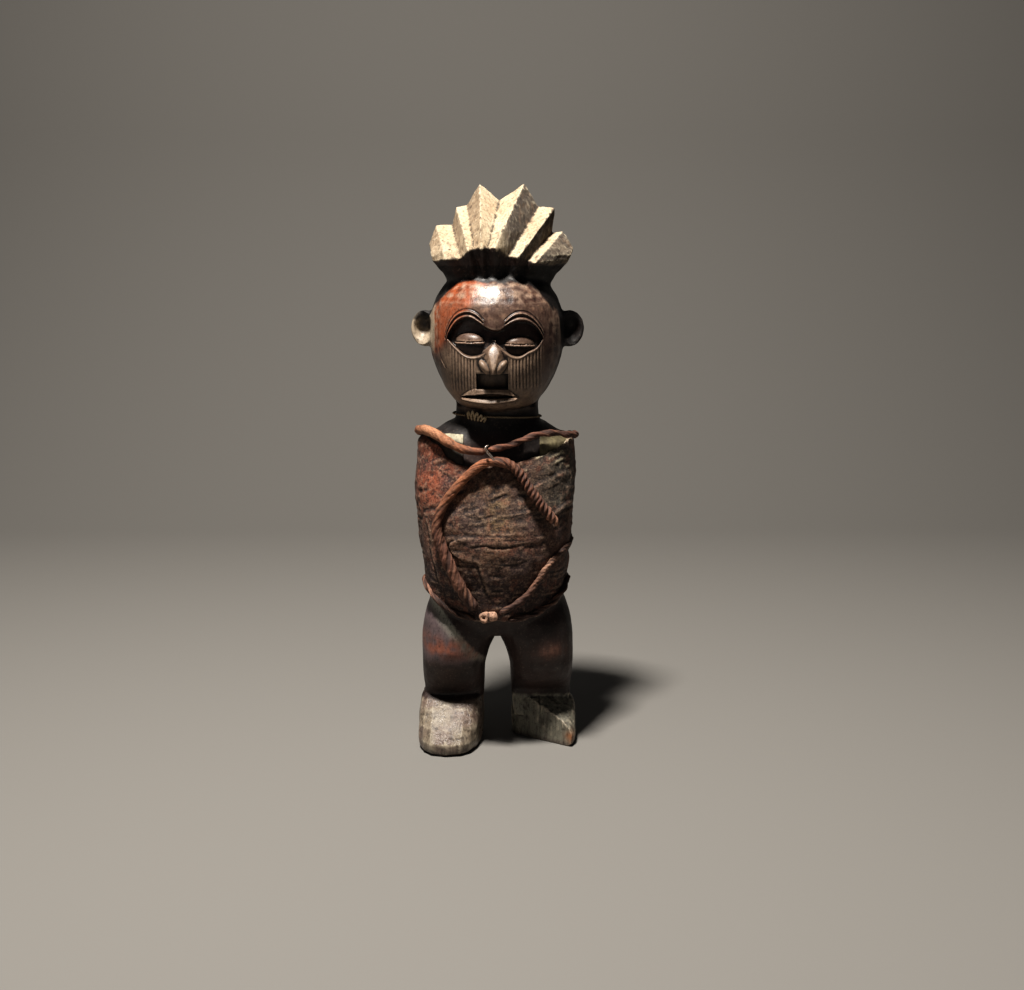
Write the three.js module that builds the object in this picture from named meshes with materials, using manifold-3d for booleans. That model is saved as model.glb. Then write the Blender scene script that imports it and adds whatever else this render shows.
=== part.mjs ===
// A standing power figure, carved from one block of dark wood, about half a metre tall.
// It has a fan of pleated hair, a round head with half-closed eyes, a barrel torso, short bent legs and
// blunt feet, the right one split off along the grain. Its torso is wrapped in stiff hide, held by
// twisted hide cords that are pinned together on the chest and knotted under the belly.
// Millimetres, +Z up. The figure faces -Y, and its left hand side in a picture is -X.

import * as THREE from "three";
import { mergeVertices } from "three/addons/utils/BufferGeometryUtils.js";
import Module from "manifold-3d";

const wasm = await Module();
wasm.setup();

// Driving dimensions
const HEIGHT = 500; // sole to the tips of the crest
const KNEE_Z = 86;
const CROTCH_Z = 96;
const WAIST_Z = 150;
const BELLY_Z = 199;
const SHOULDER_Z = 284;
const CHIN_Z = 311;
const EYE_Z = 368;
const RIM_Z = 440; // lower edge of the crest's pleats
const BODY_HALF = 67; // half the torso's width, under its wrap
const HEAD_HALF = 59;
const FOOT_X = 42.5; // middle of each foot from the figure's middle plane
const GAP = 0.5; // air between pieces that touch

// Shaping tools

// The value of one column of a table of sections at height z, on a smooth curve through its rows.
function column(table, key, z) {
  const last = table.length - 1;
  if (z <= table[0].z) return table[0][key];
  if (z >= table[last].z) return table[last][key];
  const i = table.findIndex((row) => row.z > z) - 1;
  const [a, b] = [table[i], table[i + 1]];
  const before = table[Math.max(i - 1, 0)];
  const after = table[Math.min(i + 2, last)];
  const span = b.z - a.z;
  const t = (z - a.z) / span;
  const slopeA = ((b[key] - before[key]) / (b.z - before.z)) * span;
  const slopeB = ((after[key] - a[key]) / (after.z - a.z)) * span;
  return (
    (2 * t ** 3 - 3 * t ** 2 + 1) * a[key] +
    (t ** 3 - 2 * t ** 2 + t) * slopeA +
    (3 * t ** 2 - 2 * t ** 3) * b[key] +
    (t ** 3 - t ** 2) * slopeB
  );
}

function section(table, z) {
  const row = { z };
  for (const key of ["x", "half", "front", "back", "power"]) row[key] = column(table, key, z);
  return row;
}

// A point on a section's outline: its angle is 0 at +X, 90 at the back, 180 at -X and 270 at the front.
function outline(row, degrees, grow = 0) {
  const a = THREE.MathUtils.degToRad(degrees);
  const bow = (v) => Math.sign(v) * Math.abs(v) ** (2 / row.power);
  const depth = (Math.sin(a) < 0 ? row.front : row.back) + grow;
  return new THREE.Vector3(row.x + (row.half + grow) * bow(Math.cos(a)), depth * bow(Math.sin(a)), row.z);
}

// One ring of a loft. It starts at -X and runs along the front first, so that its points pair up across.
function ring(row, count, grow = 0) {
  return Array.from({ length: count }, (_, i) => outline(row, 180 + (360 * (i + 0.5)) / count, grow));
}

// A closed skin over rings of equally many points, from the lowest up, capped by strips between pairs.
function loft(rings) {
  const count = rings[0].length;
  const last = rings.length - 1;
  const index = [];
  const quad = (a, b, c, d) => index.push(a, b, c, a, c, d);
  for (let k = 0; k < last; k++)
    for (let i = 0; i < count; i++) {
      const next = (i + 1) % count;
      quad(k * count + i, k * count + next, (k + 1) * count + next, (k + 1) * count + i);
    }
  for (let i = 0; i < count / 2 - 1; i++) {
    const top = last * count;
    quad(top + i, top + i + 1, top + count - 2 - i, top + count - 1 - i);
    quad(count - 1 - i, count - 2 - i, i + 1, i);
  }
  const geometry = new THREE.BufferGeometry().setFromPoints(rings.flat());
  geometry.setIndex(index);
  return geometry;
}

// A loft through a table of sections, from one height to another.
function body(table, low, high, rows, count, grow = 0) {
  const rings = Array.from({ length: rows + 1 }, (_, k) =>
    ring(section(table, THREE.MathUtils.lerp(low, high, k / rows)), count, grow),
  );
  return loft(rings);
}

function solid(geometry) {
  const bare = geometry.index ? geometry.toNonIndexed() : geometry.clone();
  for (const name of ["normal", "uv"]) bare.deleteAttribute(name);
  const merged = mergeVertices(bare, 1e-3);
  return new wasm.Manifold(
    new wasm.Mesh({
      numProp: 3,
      vertProperties: new Float32Array(merged.attributes.position.array),
      triVerts: new Uint32Array(merged.index.array),
    }),
  );
}

function geometryOf(made) {
  const mesh = made.getMesh();
  const geometry = new THREE.BufferGeometry();
  geometry.setAttribute("position", new THREE.BufferAttribute(new Float32Array(mesh.vertProperties), 3));
  geometry.setIndex(new THREE.BufferAttribute(new Uint32Array(mesh.triVerts), 1));
  return geometry;
}

// The biggest body of a cut, without the slivers beside it.
function largest(made) {
  return made.decompose().reduce((a, b) => (b.volume() > a.volume() ? b : a));
}

// A ball stretched to half sizes and set at a place, turned by Euler angles in degrees.
function egg([rx, ry, rz], [x, y, z], turn = [0, 0, 0], detail = 16) {
  const angles = turn.map((d) => THREE.MathUtils.degToRad(d));
  const matrix = new THREE.Matrix4().compose(
    new THREE.Vector3(x, y, z),
    new THREE.Quaternion().setFromEuler(new THREE.Euler(...angles)),
    new THREE.Vector3(rx, ry, rz),
  );
  return solid(new THREE.SphereGeometry(1, detail, Math.round(detail * 0.6)).applyMatrix4(matrix));
}

// A plate with an outline in X and Z, cut through Y from near to far.
function plate(points, near, far) {
  const shape = new THREE.Shape(points.map(([x, z]) => new THREE.Vector2(x, z)));
  const geometry = new THREE.ExtrudeGeometry(shape, { depth: far - near, bevelEnabled: false });
  return solid(geometry.rotateX(Math.PI / 2).translate(0, far, 0));
}

// Torso: a plain barrel of wood that swells to the belly, hidden under the wrap. It runs down into the hips.

const TORSO = [
  { z: 104, x: 0, half: 57, front: 32, back: 40, power: 2.2 },
  { z: 122, x: 0, half: 62, front: 42, back: 46, power: 2.2 },
  { z: WAIST_Z, x: -1.5, half: 59, front: 48, back: 44, power: 2.3 },
  { z: 172, x: -1.5, half: 62, front: 54, back: 43, power: 2.3 },
  { z: BELLY_Z, x: -2, half: 65, front: 57, back: 44, power: 2.3 },
  { z: 232, x: -2.5, half: BODY_HALF, front: 51, back: 46, power: 2.4 },
  { z: 262, x: -1.5, half: BODY_HALF, front: 44, back: 46, power: 2.4 },
  { z: SHOULDER_Z, x: -1, half: 65, front: 38, back: 43, power: 2.4 },
  { z: 291, x: 0, half: 55, front: 34, back: 38, power: 2.2 },
  { z: 296, x: 0, half: 42, front: 33, back: 34, power: 2 },
];
const TORSO_ROWS = 12;
const TORSO_SIDES = 24;

function torso(grow = 0) {
  return solid(body(TORSO, TORSO[0].z, TORSO[TORSO.length - 1].z, TORSO_ROWS, TORSO_SIDES, grow));
}

// A shell over the torso between two heights, with its two faces given as distances from the wood.
function torsoShell(near, far, low, high) {
  return torso(far).subtract(torso(near)).trimByPlane([0, 0, 1], low).trimByPlane([0, 0, -1], -high);
}

// Legs: short and thick, bent so that the thighs slope forward to blunt knees.

const LEG = [
  { z: 20, x: 40, half: 25, front: 8, back: 28, power: 2.3 },
  { z: 44, x: 39.5, half: 27.5, front: 13, back: 29, power: 2.4 },
  { z: 60, x: 40, half: 28.5, front: 24, back: 33, power: 2.4 },
  { z: 73, x: 40, half: 29, front: 37, back: 36, power: 2.5 },
  { z: KNEE_Z, x: 39, half: 30, front: 45, back: 38, power: 2.4 },
  { z: CROTCH_Z + 4, x: 35, half: 34.5, front: 44, back: 42, power: 2.3 },
  { z: 118, x: 33, half: 34, front: 39, back: 45, power: 2.3 },
  { z: 133, x: 31, half: 31, front: 30, back: 41, power: 2.2 },
  { z: 146, x: 29, half: 25, front: 20, back: 33, power: 2 },
];

const LEG_ROWS = 9;
const LEG_SIDES = 16;
const RIGHT_SET_BACK = 12; // the right shin and instep lie further back than the left ones

function leg(side, grow = 0) {
  const rows = LEG.map((row) => {
    const back = side > 0 && row.z < 50 ? RIGHT_SET_BACK : 0;
    return { ...row, x: row.x * side, front: Math.max(row.front - back, 2) };
  });
  return solid(body(rows, LEG[0].z, LEG[LEG.length - 1].z, LEG_ROWS, LEG_SIDES, grow));
}

// Feet: blunt wedges with no toes left, whose insteps slope from the shins down to the ground.

const FOOT = [
  { z: 0, x: FOOT_X, half: 27, front: 50, back: 33, power: 2.6 },
  { z: 3, x: FOOT_X, half: 28.5, front: 53.5, back: 34.5, power: 2.7 },
  { z: 11, x: FOOT_X, half: 29, front: 54, back: 35, power: 2.8 },
  { z: 22, x: FOOT_X, half: 29, front: 44, back: 34, power: 3 },
  { z: 34, x: 42, half: 28.5, front: 29, back: 32, power: 3.2 },
  { z: 42, x: 41, half: 27.5, front: 18, back: 30, power: 3.2 },
  { z: 45, x: 41, half: 25.5, front: 13, back: 28, power: 3 },
];
const FOOT_LEVELS = [0, 1.5, 3, 11, 22, 34, 42, 45];
const TOE_SPLAY = 5; // degrees that a foot points outwards

function foot(side, setBack = 0, flat = 1) {
  const rows = FOOT.map((row) => ({ ...row, x: 0, front: Math.max(row.front - setBack, 2) }));
  const shape = solid(loft(FOOT_LEVELS.map((z) => ring(section(rows, z), 18))));
  return shape.scale([1, 1, flat]).rotate([0, 0, TOE_SPLAY * side]).translate([FOOT_X * side, 0, 0]);
}

// The wood that split off the right foot: all that lies in front of a nearly upright plane across it.
const SPLIT = { x: 13, y: 5, turn: -33.5, lean: -3, reach: 90, high: 60 };
const RIGHT_FLATTER = 0.84; // the height of the right foot's instep against the left one's

function splitWood() {
  const block = new THREE.BoxGeometry(SPLIT.reach, SPLIT.reach, SPLIT.high);
  block.translate(SPLIT.reach / 2 - 10, -SPLIT.reach / 2, SPLIT.high / 2 - 10);
  block.rotateX(THREE.MathUtils.degToRad(SPLIT.lean));
  block.rotateZ(THREE.MathUtils.degToRad(SPLIT.turn));
  block.translate(SPLIT.x, SPLIT.y, 0);
  return solid(block);
}

// Neck: a plain round column.

const NECK = [
  { z: 286, x: 0, half: 46, front: 37, back: 40, power: 2 },
  { z: 293, x: 0, half: 39, front: 35, back: 37, power: 2 },
  { z: 300, x: 0, half: 37, front: 34, back: 36, power: 2 },
  { z: CHIN_Z + 9, x: 0, half: 36.5, front: 34, back: 37, power: 2 },
];

// Head: a ball a little deeper than it is wide, narrowing to a small chin.

const HEAD = [
  { z: CHIN_Z - 5, x: 0, half: 22, front: 33, back: 28, power: 2 },
  { z: CHIN_Z, x: 0, half: 32, front: 44, back: 36, power: 2 },
  { z: 321, x: 0, half: 42, front: 52, back: 44, power: 2 },
  { z: 337, x: 0, half: 51, front: 57, back: 51, power: 2.05 },
  { z: 354, x: 0, half: 57, front: 59, back: 56, power: 2.1 },
  { z: 372, x: 0, half: HEAD_HALF, front: 59, back: 59, power: 2.1 },
  { z: 388, x: 0, half: 58, front: 58, back: 59, power: 2.1 },
  { z: 403, x: 0, half: 54, front: 53, back: 55, power: 2.05 },
  { z: 416, x: 0, half: 45, front: 43, back: 46, power: 2 },
  { z: 425, x: 0, half: 32, front: 30, back: 33, power: 2 },
];
const HEAD_TURN = -3.3; // degrees that the face turns towards -X

// Face, on the head's own middle plane. Every size is a share of the half width of the head.
const EYE_X = HEAD_HALF * 0.36;
const NOSE_BASE_Z = EYE_Z - HEAD_HALF * 0.42;
const MOUTH_Z = EYE_Z - HEAD_HALF * 0.76;

function carvedFace(skull) {
  let made = skull;
  for (const side of [-1, 1]) {
    const socket = [EYE_X * side, -62, EYE_Z + 3];
    made = made.subtract(egg([19, 11, 16], socket, [0, 0, 10 * side], 14));
    made = made.add(egg([13.5, 8.5, 6.5], [EYE_X * side, -48.5, EYE_Z], [0, 5 * side, 12 * side], 10));
    made = made.add(egg([7, 9.5, 6.5], [7 * side, -59, NOSE_BASE_Z + 4.5], [0, 0, 0], 10));
  }
  const noseShape = new THREE.CylinderGeometry(3, 7, 27, 8).rotateX(Math.PI / 2).scale(1, 1.5, 1);
  made = made.add(solid(noseShape.rotateX(THREE.MathUtils.degToRad(-14)).translate(0, -60, NOSE_BASE_Z + 13)));
  made = made.subtract(solid(new THREE.BoxGeometry(60, 40, 8).translate(0, -83, NOSE_BASE_Z - 4)));
  made = made.subtract(solid(new THREE.BoxGeometry(26, 16, 13).translate(0, -60, MOUTH_Z + 13)));
  made = made.add(egg([26, 14, 4.4], [0, -47.5, MOUTH_Z + 3.2], [0, 0, 0], 10));
  made = made.add(egg([25, 13, 4], [0, -46.5, MOUTH_Z - 4], [0, 0, 0], 10));
  return made;
}

// Ears: thick cups that stand out at eye level and open to the front.

function ear(side) {
  const shell = egg([14, 9, 17], [63.5 * side, 1, EYE_Z + 9], [0, 0, 12 * side], 12);
  const hollow = egg([9.5, 8, 12], [65 * side, -7, EYE_Z + 9], [0, 0, 12 * side], 10);
  return shell.subtract(hollow);
}

// Crest: a fan of six pleats of hair over the head, thick at its rim and narrow along its top.
// Each station is a ridge, a valley or an edge, from -X to +X, with its foot on the rim and its tip, and
// how deep a valley is cut behind the ridges beside it.

const CREST = [
  { kind: "edge", foot: [-54, RIM_Z - 5], tip: [-58, RIM_Z + 9] },
  { kind: "ridge", foot: [-43, RIM_Z - 4], tip: [-52, RIM_Z + 25] },
  { kind: "valley", cut: 7, foot: [-30, RIM_Z - 3], tip: [-38, RIM_Z + 26] },
  { kind: "ridge", foot: [-24, RIM_Z + 3], tip: [-34.5, RIM_Z + 40] },
  { kind: "valley", cut: 6, foot: [-18.5, RIM_Z + 4], tip: [-25.5, RIM_Z + 42] },
  { kind: "ridge", foot: [-13, RIM_Z + 5], tip: [-14.5, HEIGHT] },
  { kind: "valley", cut: 5, foot: [-7.5, RIM_Z + 5], tip: [2.5, RIM_Z + 46] },
  { kind: "ridge", foot: [-2, RIM_Z + 5], tip: [23.5, HEIGHT] },
  { kind: "valley", cut: 10, foot: [9.5, RIM_Z - 1], tip: [36, RIM_Z + 41] },
  { kind: "ridge", foot: [18, RIM_Z - 2], tip: [50, RIM_Z + 40] },
  { kind: "valley", cut: 8, foot: [25.5, RIM_Z - 5], tip: [48, RIM_Z + 19] },
  { kind: "ridge", foot: [32, RIM_Z - 7], tip: [57, RIM_Z + 20] },
  { kind: "edge", foot: [61, RIM_Z - 6], tip: [66, RIM_Z + 6] },
];
const CREST_WAIST_Z = 419;
const RIM_HALF = 65; // the rim's oval, seen from above
const RIM_DEPTH = 48;
const TIP_DEPTH = { edge: 11, ridge: 3.5, valley: 2.5 };

// The front half of the crest's outline at a level: 0 at the rim, 1 along the top.
function crestRow(level) {
  return CREST.map(({ kind, cut = 0, foot: [footX, footZ], tip: [tipX, tipZ] }) => {
    const oval = RIM_DEPTH * Math.sqrt(1 - (footX / RIM_HALF) ** 2);
    const rim = oval - cut;
    const bulge = 5 * Math.sin(Math.PI * level);
    const depth = THREE.MathUtils.lerp(rim, TIP_DEPTH[kind], level) + bulge;
    return [THREE.MathUtils.lerp(footX, tipX, level), depth, THREE.MathUtils.lerp(footZ, tipZ, level)];
  });
}

function crestRing(row, across, deep, z) {
  const front = row.map(([x, y, high]) => new THREE.Vector3(x * across, -y * deep, z ?? high));
  const back = front.map((p) => new THREE.Vector3(p.x, -p.y, p.z)).reverse();
  return [...front, ...back];
}

function crest() {
  const rim = crestRow(0);
  const rings = [
    crestRing(rim, 0.6, 0.55, CREST_WAIST_Z - 16),
    crestRing(rim, 0.8, 0.74, CREST_WAIST_Z),
    crestRing(rim, 0.84, 0.8, CREST_WAIST_Z + 5),
    ...[0, 0.25, 0.5, 0.75, 1].map((level) => crestRing(crestRow(level), 1, 1)),
  ];
  return solid(loft(rings));
}

function carvedFigure() {
  const skull = solid(body(HEAD, HEAD[0].z, HEAD[HEAD.length - 1].z, 12, 28));
  const head = carvedFace(skull.add(ear(-1)).add(ear(1))).rotate([0, 0, HEAD_TURN]);
  return torso()
    .add(leg(-1))
    .add(leg(1))
    .add(foot(-1))
    .add(foot(1, RIGHT_SET_BACK, RIGHT_FLATTER).subtract(splitWood()))
    .add(solid(body(NECK, NECK[0].z, NECK[NECK.length - 1].z, 3, 20)))
    .add(head)
    .add(crest());
}

// Pale hide under the wrap: a band round the shoulders, open on the chest, whose front ends show.

const BAND = { low: 262, high: 287.5, thick: 1.2, left: -29, right: 36.5 };

function hideBand(grow = 0) {
  const shell = torsoShell(GAP - grow, GAP + BAND.thick + grow, BAND.low - grow, BAND.high + grow);
  const opening = new THREE.BoxGeometry(BAND.right - BAND.left - 2 * grow, 90, 60);
  opening.translate((BAND.left + BAND.right) / 2, -45, (BAND.low + BAND.high) / 2);
  return shell.subtract(solid(opening));
}

// Wrap: one stiff sheet of hide round the torso, cut low on the chest and rising over the hips.

const WRAP_THICK = 3.4;
const WRAP_LOW = 122;
const WRAP_HIGH = 285;
const HEM_RISE = 26; // how much higher the hem is at the sides than under the belly
const NECKLINE = [
  [-67, 287],
  [-55, 280.5],
  [-48, 277],
  [-44, 270],
  [-38, 266],
  [-29, 261],
  [-15, 262],
  [5, 264],
  [24, 267.5],
  [41, 271.5],
  [52, 276],
  [60, 282],
  [67, 287],
];

function hemZ(x) {
  return WRAP_LOW + HEM_RISE * Math.abs(x / 64) ** 3.5;
}

function wrap() {
  const shell = torsoShell(GAP, GAP + WRAP_THICK, WRAP_LOW, WRAP_HIGH)
    .subtract(hideBand(GAP))
    .subtract(leg(-1, GAP))
    .subtract(leg(1, GAP));
  const neckline = plate([[-67, 300], ...NECKLINE, [67, 300]], -90, -2);
  const edge = [-75, -62, -52, -40, -20, 20, 40, 52, 62, 75].map((x) => [x, hemZ(x)]);
  const hem = plate([[-75, 90], ...edge, [75, 90]], -90, 90);
  return largest(shell.subtract(neckline).subtract(hem));
}

// Cords: strips of hide twisted into cord, lying on the wrap. Their routes are lists of points on the body,
// each an angle round it or, on the front, a distance from the middle, with a height.

function onBody(degrees, z, lift) {
  const at = (d, h) => outline(section(TORSO, h), d, GAP + WRAP_THICK);
  const round = at(degrees + 1, z).sub(at(degrees - 1, z));
  const up = at(degrees, z + 1).sub(at(degrees, z - 1));
  return at(degrees, z).addScaledVector(round.cross(up).normalize(), lift);
}

function onFront(x, z, lift) {
  const row = section(TORSO, z);
  const share = (x - row.x) / (row.half + GAP + WRAP_THICK);
  const cosine = Math.sign(share) * Math.abs(share) ** (row.power / 2);
  return onBody(360 - THREE.MathUtils.radToDeg(Math.acos(cosine)), z, lift);
}

function cord(points, radius, steps, sides = 8) {
  const section = new THREE.Shape().absarc(0, 0, radius, 0, 2 * Math.PI);
  const rim = new THREE.Shape(section.getSpacedPoints(sides).slice(0, sides));
  return new THREE.ExtrudeGeometry(rim, { steps, extrudePath: new THREE.CatmullRomCurve3(points) });
}

// The collar cord lies round the shoulders, from one side of the pin to the other.
const COLLAR_R = 3.8;
const COLLAR = [
  [-9.5, -50.5, 275],
  [-15, -50.5, 274.8],
  [-21, -49.8, 274.4],
  [-29, -48, 276.2],
  [-35, -46.5, 278.4],
  [-40, -44.8, 281],
  [-45, -42, 284],
  [-51, -37.5, 287.5],
  [-57, -32, 290.5],
  [-64, -24, 291.5],
  [-71, -8, 289.5],
  [-75, 12, 284],
  [-62, 39, 279],
  [-36, 51, 275],
  [-8, 54.5, 273],
  [24, 53.5, 274],
  [53, 43.5, 278],
  [70.5, 21, 281],
  [74, -2, 283.5],
  [68, -22, 285],
  [62, -29.5, 286.5],
  [55, -34.5, 288.5],
  [47, -38, 290],
  [38, -41.5, 290],
  [30, -44.5, 288],
  [23, -46.5, 285],
  [16, -48, 282],
  [10, -49, 279.5],
  [5, -50, 278.6],
  [-2, -50.2, 278],
];

// The chest cord hangs over the pin like an upturned V. Its thick end lies free on the right breast, and
// the rest goes down over the left elbow's place to the knot under the belly.
const CHEST_CORD_R = 4;
const CHEST_CORD = [
  [48.5, 209.5],
  [43, 217.5],
  [39, 223],
  [35, 228.5],
  [31, 234.5],
  [27, 240.5],
  [24, 247],
  [20.5, 252.5],
  [17.5, 257.5],
  [13.5, 262],
  [8.5, 264.5],
  [2.5, 265.5],
  [-3.5, 266],
  [-8.5, 265.5],
  [-12.5, 263.5],
  [-17, 261],
  [-26.5, 252.5],
  [-36.5, 241.5],
  [-43, 232],
  [-48, 222],
  [-50, 212.5],
  [-50.5, 206.5],
  [-49, 200],
  [-44, 188],
  [-39.5, 176],
  [-34.5, 164.5],
  [-28, 151.5],
  [-22, 141.5],
  [-18, 137],
];

// The side cord is thinner. It goes from the knot up the belly and round the right side to the back, and
// its end is tucked under the hip cord. Its last points are angles round the body with their heights.
const SIDE_CORD_R = 2.7;
const SIDE_CORD_FRONT = [
  [1.5, 133.5],
  [5, 135.5],
  [10, 137.5],
  [15, 141],
  [20, 144],
  [24.5, 148],
  [28, 152.5],
  [33, 161],
  [38, 169.5],
  [44, 178.5],
  [49, 184],
];
const SIDE_CORD_BACK = [
  [334, 189],
  [350, 191],
  [10, 191],
  [32, 189],
  [55, 183],
  [80, 174],
  [100, 166],
];

const HIP_CORD_R = 3.1;
const HIP_CORD_RISE = 5; // above the wrap's hem
const HIP_CORD = [256, 243, 230, 217, 204, 190, 172, 150, 125, 100, 75, 50, 30, 10, 352, 340, 328, 315, 300, 287, 276];

function hipCord() {
  const points = HIP_CORD.map((degrees) => {
    const x = BODY_HALF * Math.cos(THREE.MathUtils.degToRad(degrees));
    return onBody(degrees, hemZ(x) + HIP_CORD_RISE, HIP_CORD_R + 0.9);
  });
  return cord(points, HIP_CORD_R, 36);
}

function sideCord() {
  const lift = SIDE_CORD_R + 0.9;
  const front = SIDE_CORD_FRONT.map(([x, z]) => onFront(x, z, lift));
  const back = SIDE_CORD_BACK.map(([degrees, z]) => onBody(degrees, z, lift));
  return cord([...front, ...back], SIDE_CORD_R, 28);
}

// The knot under the belly, where the cords meet: two short ends side by side.
function bellyKnot() {
  const at = onFront(-7.5, 131, 5.6);
  const left = egg([5, 4.4, 4.6], [at.x - 3.4, at.y, at.z - 0.5], [0, 25, 0], 8);
  const right = egg([5.4, 4.6, 5], [at.x + 3.4, at.y, at.z + 0.5], [0, -20, 0], 8);
  return geometryOf(left.add(right));
}

// The pin that fastens the cords on the chest is a thin iron wire with a bent upper end.
const PIN_R = 0.7;
const PIN = [
  [-10, -57, 280.5],
  [-11.5, -57.5, 278],
  [-8.5, -58.5, 275],
  [-5, -59, 271],
  [-3, -59, 268.5],
];

function chestPin() {
  return cord(PIN.map((p) => new THREE.Vector3(...p)), PIN_R, 10, 6);
}

// The neck string: a thin fibre cord tied round the neck.
const NECK_STRING_R = 1.2;

function neckString() {
  const row = section(NECK, 301);
  const lift = GAP + NECK_STRING_R + 0.6;
  const points = Array.from({ length: 25 }, (_, i) => {
    const p = outline(row, 236 + 350 * (i / 24), lift);
    p.z += 2.2 * Math.cos((2 * Math.PI * i) / 24);
    return p;
  });
  return cord(points, NECK_STRING_R, 20);
}

// Assembly

const COLOURS = {
  wood: new THREE.MeshStandardMaterial({ color: 0x2c1a14, roughness: 0.45, metalness: 0 }),
  wrap: new THREE.MeshStandardMaterial({ color: 0x5c2f22, roughness: 0.9, metalness: 0 }),
  rawhide: new THREE.MeshStandardMaterial({ color: 0xb2a476, roughness: 0.8, metalness: 0 }),
  cord: new THREE.MeshStandardMaterial({ color: 0xa4603c, roughness: 0.85, metalness: 0 }),
  fibre: new THREE.MeshStandardMaterial({ color: 0xb9a27c, roughness: 0.9, metalness: 0 }),
  iron: new THREE.MeshStandardMaterial({ color: 0x4c4844, roughness: 0.5, metalness: 0.9 }),
};

function piece(name, geometry, material) {
  const mesh = new THREE.Mesh(geometry, material);
  mesh.name = name;
  return mesh;
}

const collarCord = cord(COLLAR.map((p) => new THREE.Vector3(...p)), COLLAR_R, 34);
const chestRoute = CHEST_CORD.map(([x, z]) => onFront(x, z, CHEST_CORD_R + 1.2));

const figure = new THREE.Group();
figure.add(
  piece("carved_figure", geometryOf(carvedFigure()), COLOURS.wood),
  piece("hide_wrap", geometryOf(wrap()), COLOURS.wrap),
  piece("inner_hide", geometryOf(hideBand()), COLOURS.rawhide),
  piece("collar_cord", collarCord, COLOURS.cord),
  piece("chest_cord", cord(chestRoute, CHEST_CORD_R, 32), COLOURS.cord),
  piece("side_cord", sideCord(), COLOURS.cord),
  piece("hip_cord", hipCord(), COLOURS.cord),
  piece("belly_knot", bellyKnot(), COLOURS.cord),
  piece("chest_pin", chestPin(), COLOURS.iron),
  piece("neck_string", neckString(), COLOURS.fibre),
);

// The origin lies under the middle of the work's outline, seen from above.
const middle = new THREE.Box3().setFromObject(figure).getCenter(new THREE.Vector3());
figure.position.set(-middle.x, -middle.y, 0);

export default figure;
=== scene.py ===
# A standing power figure: a carved wooden body under a stiff hide wrap, bound with twisted hide cords.
# Metres, +Z up. The figure faces -Y. Sizes that were read off the carving are in millimetres.

from math import cos, pi, radians, sin, sqrt

import bpy
import numpy as np
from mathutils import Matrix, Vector
from mathutils.bvhtree import BVHTree


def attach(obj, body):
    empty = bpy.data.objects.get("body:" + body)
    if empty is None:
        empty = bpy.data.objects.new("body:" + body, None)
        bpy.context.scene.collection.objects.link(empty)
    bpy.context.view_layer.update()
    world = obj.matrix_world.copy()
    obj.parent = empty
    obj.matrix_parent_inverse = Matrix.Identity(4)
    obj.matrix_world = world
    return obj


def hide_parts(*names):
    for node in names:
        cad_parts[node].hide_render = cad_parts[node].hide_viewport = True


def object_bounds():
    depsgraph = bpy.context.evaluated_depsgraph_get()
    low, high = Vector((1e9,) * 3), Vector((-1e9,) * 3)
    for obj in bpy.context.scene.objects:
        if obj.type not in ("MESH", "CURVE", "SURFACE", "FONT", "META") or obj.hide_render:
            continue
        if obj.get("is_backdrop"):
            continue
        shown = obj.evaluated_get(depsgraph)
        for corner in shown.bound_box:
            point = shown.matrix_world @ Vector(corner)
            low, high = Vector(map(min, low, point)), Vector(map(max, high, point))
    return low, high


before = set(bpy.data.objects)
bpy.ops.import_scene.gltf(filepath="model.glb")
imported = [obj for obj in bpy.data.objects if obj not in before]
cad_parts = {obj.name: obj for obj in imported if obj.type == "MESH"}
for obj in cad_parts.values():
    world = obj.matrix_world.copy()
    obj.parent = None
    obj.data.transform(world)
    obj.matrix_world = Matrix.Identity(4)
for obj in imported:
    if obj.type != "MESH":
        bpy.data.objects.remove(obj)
cad_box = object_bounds()
bpy.ops.object.select_all(action="DESELECT")

# Camera, floor and light
# A long lens looks slightly down at the figure from the front. It stands on a pale paper sweep, under one
# soft box high up in front of it, with a weaker one on the left.

MM = 0.001
AXIS = Vector((0.2, 7.05, 0)) * MM  # the figure's own upright middle line
bpy.ops.object.camera_add(
    location=AXIS + Vector((0, -1.0999, 0.4332)),
    rotation=(radians(90 - 10.57), 0, radians(-0.69)),
)
camera = bpy.context.object
camera.data.lens = 43.7
camera.data.sensor_width = 36
camera.data.clip_start = 0.01
bpy.context.scene.camera = camera

SWEEP_WIDTH, SWEEP_NEAR, SWEEP_FAR, SWEEP_HIGH, SWEEP_BEND = 6.0, -3.0, 1.6, 3.0, 0.7
bpy.ops.mesh.primitive_plane_add(size=1, location=(0, 0, 0))
sweep = bpy.context.object
sweep.name = "paper_sweep"
sweep.scale = (SWEEP_WIDTH, SWEEP_FAR - SWEEP_NEAR, 1)
sweep.location = (0, (SWEEP_FAR + SWEEP_NEAR) / 2, -0.0002)
bpy.ops.object.transform_apply(location=True, rotation=False, scale=True)
bpy.ops.object.mode_set(mode="EDIT")
bpy.ops.mesh.select_mode(type="EDGE")
bpy.ops.mesh.select_all(action="DESELECT")
bpy.ops.object.mode_set(mode="OBJECT")
for edge in sweep.data.edges:
    edge.select = all(sweep.data.vertices[v].co.y > SWEEP_FAR - 0.01 for v in edge.vertices)
bpy.ops.object.mode_set(mode="EDIT")
bpy.ops.mesh.extrude_region_move(TRANSFORM_OT_translate={"value": (0, 0, SWEEP_HIGH)})
bpy.ops.object.mode_set(mode="OBJECT")
bend = sweep.modifiers.new("bend", "BEVEL")
bend.width = SWEEP_BEND
bend.segments = 24
bend.limit_method = "ANGLE"
bpy.ops.object.modifier_apply(modifier="bend")
bpy.ops.object.shade_smooth()
paper = bpy.data.materials.new("pale_paper")
paper.use_nodes = True
paper_shader = paper.node_tree.nodes["Principled BSDF"]
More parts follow.
